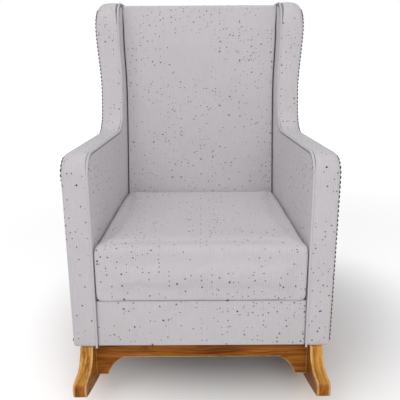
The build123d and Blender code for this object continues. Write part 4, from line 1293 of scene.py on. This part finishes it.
class ROCKER_OT_zip(bpy.types.Operator):
    """Sew the zip into the rear of the seat cushion, with its coil and slider."""

    bl_idname = "rocker.zip"
    bl_label = "Cushion zip"

    def execute(self, context):
        low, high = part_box("cushion_zip")
        middle = (low + high) / 2
        up = np.array([0, math.sin(RAKE_ANGLE), math.cos(RAKE_ANGLE)])
        out = np.array([0, math.cos(RAKE_ANGLE), -math.sin(RAKE_ANGLE)])
        face_y = low.y + (high.z - low.z) / 2 * BACK_RAKE
        foot = np.array([middle.x, face_y, middle.z])
        half = (high.x - low.x) / 2
        outline = np.array([(-half, -13 * MM), (-half, 13 * MM), (half, 13 * MM), (half, -13 * MM)])
        line = respace(outline, 6.5 * MM, closed=True)

        def span(flat):
            face = foot + flat[:, :1] * np.array([1.0, 0, 0]) + flat[:, 1:2] * up
            return face + out * 0.9 * MM, face - out * 0.6 * MM

        tape = rounded_slab(
            "zip_tape", line, span, 0.3 * MM, 0.3 * MM, margin=1 * MM, band_rings=2, edge_rings=2
        )
        finish_piece(tape, materials["zip"], CUSHION_BODY, "zip_tape", "cushion_zip")
        tree = GeometryTree(
            "Zip coil",
            [("Pitch", "NodeSocketFloat"), ("Size", "NodeSocketVector"), ("Material", "NodeSocketMaterial")],
        )
        n, given = tree.nodes, tree.given
        spots = n.add(
            "GeometryNodeResampleCurve", {"Curve": given["Geometry"], "Length": given["Pitch"]}, mode="LENGTH"
        )
        turn = n.add("GeometryNodeMeshUVSphere", {"Segments": 8, "Rings": 4, "Radius": 1.0})
        loop = n.add("GeometryNodeTransform", {"Geometry": turn.outputs[0], "Scale": given["Size"]})
        inputs = {"Points": spots.outputs[0], "Instance": loop.outputs[0]}
        coil = n.add("GeometryNodeInstanceOnPoints", inputs)
        coil.inputs["Rotation"].default_value = (-RAKE_ANGLE, 0, 0)
        tree.end(coil.outputs[0])
        ends = np.array([foot + out * 1.2 * MM + np.array([x, 0, 0]) for x in (6 * MM - half, half - 6 * MM)])
        values = {"Pitch": 1.9 * MM, "Size": (0.85 * MM, 0.7 * MM, 2.3 * MM), "Material": materials["zip"]}
        teeth = tree.run("zip_coil", path_object("zip_path", ends), values)
        finish_piece(teeth, materials["zip"], CUSHION_BODY, "zip_tape")
        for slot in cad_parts["zip_slider"].material_slots:
            slot.material = materials["slider"]
        return {"FINISHED"}


class ROCKER_OT_base(bpy.types.Operator):
    """Shape the two rockers and the two aprons, with softened edges."""

    bl_idname = "rocker.base"
    bl_label = "Rocker base"

    def execute(self, context):
        edge = context.scene.rocker_wood.edge
        line = self.rocker_line()
        for side, hand in (("right", 1), ("left", -1)):

            def span(flat, hand=hand):
                outer = np.column_stack([np.full(len(flat), hand * ROCKER_HIGH.x), flat])
                return outer, np.column_stack([np.full(len(flat), hand * ROCKER_LOW.x), flat])

            obj = rounded_slab(f"{side}_rocker_board", line, span, edge, edge, margin=1.5 * MM, grid=30 * MM,
                               band_rings=3)
            finish_piece(obj, materials["rocker"], BODY, "stained_wood", f"{side}_rocker")
        for end in ("front", "rear"):
            low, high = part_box(f"{end}_apron")
            near, far = (low.y, high.y) if end == "front" else (high.y, low.y)

            def span(flat, near=near, far=far):
                face = np.column_stack([flat[:, 0], np.full(len(flat), near), flat[:, 1]])
                return face, np.column_stack([flat[:, 0], np.full(len(flat), far), flat[:, 1]])

            obj = rounded_slab(f"{end}_apron_board", self.apron_line(low, high), span, edge, edge,
                               margin=1.5 * MM, grid=25 * MM, band_rings=3)
            finish_piece(obj, materials["apron"], BODY, "stained_wood", f"{end}_apron")
        return {"FINISHED"}

    def rocker_line(self):
        """Side view of a rocker, clockwise: Y across, Z up."""
        half, top = ROCKER_HIGH.y, ROCKER_HIGH.z
        radius, toe_z, nose = 1.5, 0.110, 10 * MM
        sweep = top - toe_z
        shoulder = FRONT_Y - 7 * MM
        rear_shoulder = FRONT_Y + BODY_DEPTH - 7 * MM
        sole = radius - math.sqrt(radius**2 - half**2)
        front_toe = arc((nose - half, toe_z - nose), nose, 180, 90)
        front_sweep = arc((shoulder - sweep, top), sweep, 270, 360)
        rear_sweep = arc((rear_shoulder + sweep, top), sweep, 180, 270)
        rear_toe = arc((half - nose, toe_z - nose), nose, 90, 0)
        spread = math.degrees(math.asin((half - 5 * MM) / radius))
        underside = arc((0, radius), radius, 270 + spread, 270 - spread, 160)
        heel = [(half, sole + 5 * MM), (half - 1.5 * MM, sole + 1.5 * MM)]
        toe = [(1.5 * MM - half, sole + 1.5 * MM), (-half, sole + 5 * MM)]
        outline = [front_toe, front_sweep, rear_sweep, rear_toe, heel, underside, toe]
        return respace(np.vstack(outline), 5 * MM, True)

    def apron_line(self, low, high):
        """Front view of an apron, clockwise: a long arch between bracket ends."""
        half, top, bracket, arch, hollow = high.x, high.z, low.z, 0.112, 8 * MM
        heel = half - 32 * MM
        spring = heel - 44 * MM
        drop = arch - bracket
        chord = math.hypot(heel - spring, drop)
        across = (drop / chord, (heel - spring) / chord)
        curve = [
            (
                heel - (heel - spring) * t + 4 * hollow * t * (1 - t) * across[0],
                bracket + drop * t + 4 * hollow * t * (1 - t) * across[1],
            )
            for t in np.linspace(0.08, 1, 12)
        ]
        right = [(half, top), (half, bracket), (heel, bracket)] + curve
        left = [(-x, z) for x, z in reversed(right)]
        return respace(np.array(right + left), 4 * MM, True)


def arc(centre, radius, start, end, pieces=14):
    """Points of a circle's arc between two angles in degrees."""
    turns = np.radians(np.linspace(start, end, pieces + 1))
    return np.array(centre) + radius * np.column_stack([np.cos(turns), np.sin(turns)])


class ROCKER_OT_stage(bpy.types.Operator):
    """Set out the pale floor, the soft lights and the camera."""

    bl_idname = "rocker.stage"
    bl_label = "Stage"

    def execute(self, context):
        scene, settings = context.scene, context.scene.rocker_stage
        scene.view_settings.view_transform = "Standard"
        scene.view_settings.look = "None"
        floor = mesh_object(
            "floor", [(-30, -30, 0), (30, -30, 0), (30, 30, 0), (-30, 30, 0)], [(0, 1, 2, 3)], smooth=False
        )
        material, n, shader = new_material("pale_floor")
        shader.inputs["Base Color"].default_value = (*settings.floor, 1)
        shader.inputs["Roughness"].default_value = 0.8
        shader.inputs["Specular IOR Level"].default_value = 0.1
        place = n.add("ShaderNodeTexCoord").outputs["Object"]
        inputs = {0: place, 1: (0.14, 0.12, 0.0)}  # the middle of the chair's shadow
        shadow = n.add("ShaderNodeVectorMath", inputs, operation="DISTANCE").outputs["Value"]
        glow = n.mix(n.ramp(shadow, 0.30, 0.85), (settings.glow,) * 3, (0.43,) * 3)
        glow = n.mix(n.ramp(shadow, 1.1, 4.0), glow, (0.75,) * 3)
        seen = n.add("ShaderNodeLightPath").outputs["Is Camera Ray"]
        n.tree.links.new(n.mix(seen, (settings.glow,) * 3, glow), shader.inputs["Emission Color"])
        shader.inputs["Emission Strength"].default_value = 1.0
        floor.data.materials.append(material)
        world = bpy.data.worlds.new("studio")
        world.use_nodes = True
        scene.world = world
        sky = Nodes(world.node_tree)
        seen = sky.add("ShaderNodeLightPath").outputs["Is Camera Ray"]
        strength = sky.math("MULTIPLY_ADD", seen, 1.0 - settings.ambient, settings.ambient)
        backdrop = world.node_tree.nodes["Background"]
        backdrop.inputs["Color"].default_value = (1, 1, 1, 1)
        world.node_tree.links.new(strength, backdrop.inputs["Strength"])
        self.add_light("key", (-1.7, -2.3, 2.9), (0, 0, 0.5), 1.8, settings.key)
        self.add_light("front", (0.5, -2.6, 1.6), (0, 0, 0.6), 1.6, settings.key * 0.85)
        self.add_light("top", (-0.2, -0.5, 2.9), (0, 0, 0.4), 1.6, settings.key * 0.6)
        camera = bpy.data.cameras.new("camera")
        camera.lens = 45.5
        camera.sensor_width = 36
        obj = bpy.data.objects.new("camera", camera)
        scene.collection.objects.link(obj)
        place = Matrix.Translation((settings.offset, FRONT_Y - settings.distance, settings.height))
        tilt = Matrix.Rotation(math.pi / 2 - settings.pitch, 4, "X")
        obj.matrix_world = place @ tilt @ Matrix.Rotation(settings.roll, 4, "Z")
        scene.camera = obj
        return {"FINISHED"}

    def add_light(self, name, place, target, size, power):
        """Square soft light at a place, turned to a target."""
        light = bpy.data.lights.new(name, "AREA")
        light.size = size
        light.energy = power
        obj = bpy.data.objects.new(name, light)
        bpy.context.scene.collection.objects.link(obj)
        direction = Vector(target) - Vector(place)
        obj.matrix_world = Matrix.Translation(place) @ direction.to_track_quat("-Z", "Y").to_matrix().to_4x4()


class ROCKER_PT_panel(bpy.types.Panel):
    """Sidebar panel that lists the chair's pieces and their sizes."""

    bl_label = "Wing Rocker"
    bl_idname = "ROCKER_PT_panel"
    bl_space_type = "VIEW_3D"
    bl_region_type = "UI"
    bl_category = "Wing Rocker"

    def draw(self, context):
        for name in SETTINGS:
            box = self.layout.box()
            group = getattr(context.scene, name)
            for key in group.__annotations__:
                box.prop(group, key)
        for operator in OPERATORS:
            self.layout.operator(operator.bl_idname)


SETTINGS = {
    "rocker_fabric": FabricSettings,
    "rocker_sides": SideSettings,
    "rocker_nails": NailSettings,
    "rocker_cushion": CushionSettings,
    "rocker_wood": WoodSettings,
    "rocker_stage": StageSettings,
}
OPERATORS = (
    ROCKER_OT_finishes,
    ROCKER_OT_timber,
    ROCKER_OT_base,
    ROCKER_OT_sides,
    ROCKER_OT_piping,
    ROCKER_OT_nails,
    ROCKER_OT_inside_back,
    ROCKER_OT_outside_back,
    ROCKER_OT_border,
    ROCKER_OT_cushion,
    ROCKER_OT_zip,
    ROCKER_OT_stage,
)


def register():
    for name, group in SETTINGS.items():
        bpy.utils.register_class(group)
        setattr(bpy.types.Scene, name, bpy.props.PointerProperty(type=group))
    for operator in OPERATORS:
        bpy.utils.register_class(operator)
    bpy.utils.register_class(ROCKER_PT_panel)


def unregister():
    bpy.utils.unregister_class(ROCKER_PT_panel)
    for operator in reversed(OPERATORS):
        bpy.utils.unregister_class(operator)
    for name, group in reversed(SETTINGS.items()):
        delattr(bpy.types.Scene, name)
        bpy.utils.unregister_class(group)


def main():
    register()
    for operator in OPERATORS:
        area, call = operator.bl_idname.split(".")
        getattr(getattr(bpy.ops, area), call)()


if __name__ == "__main__":
    main()
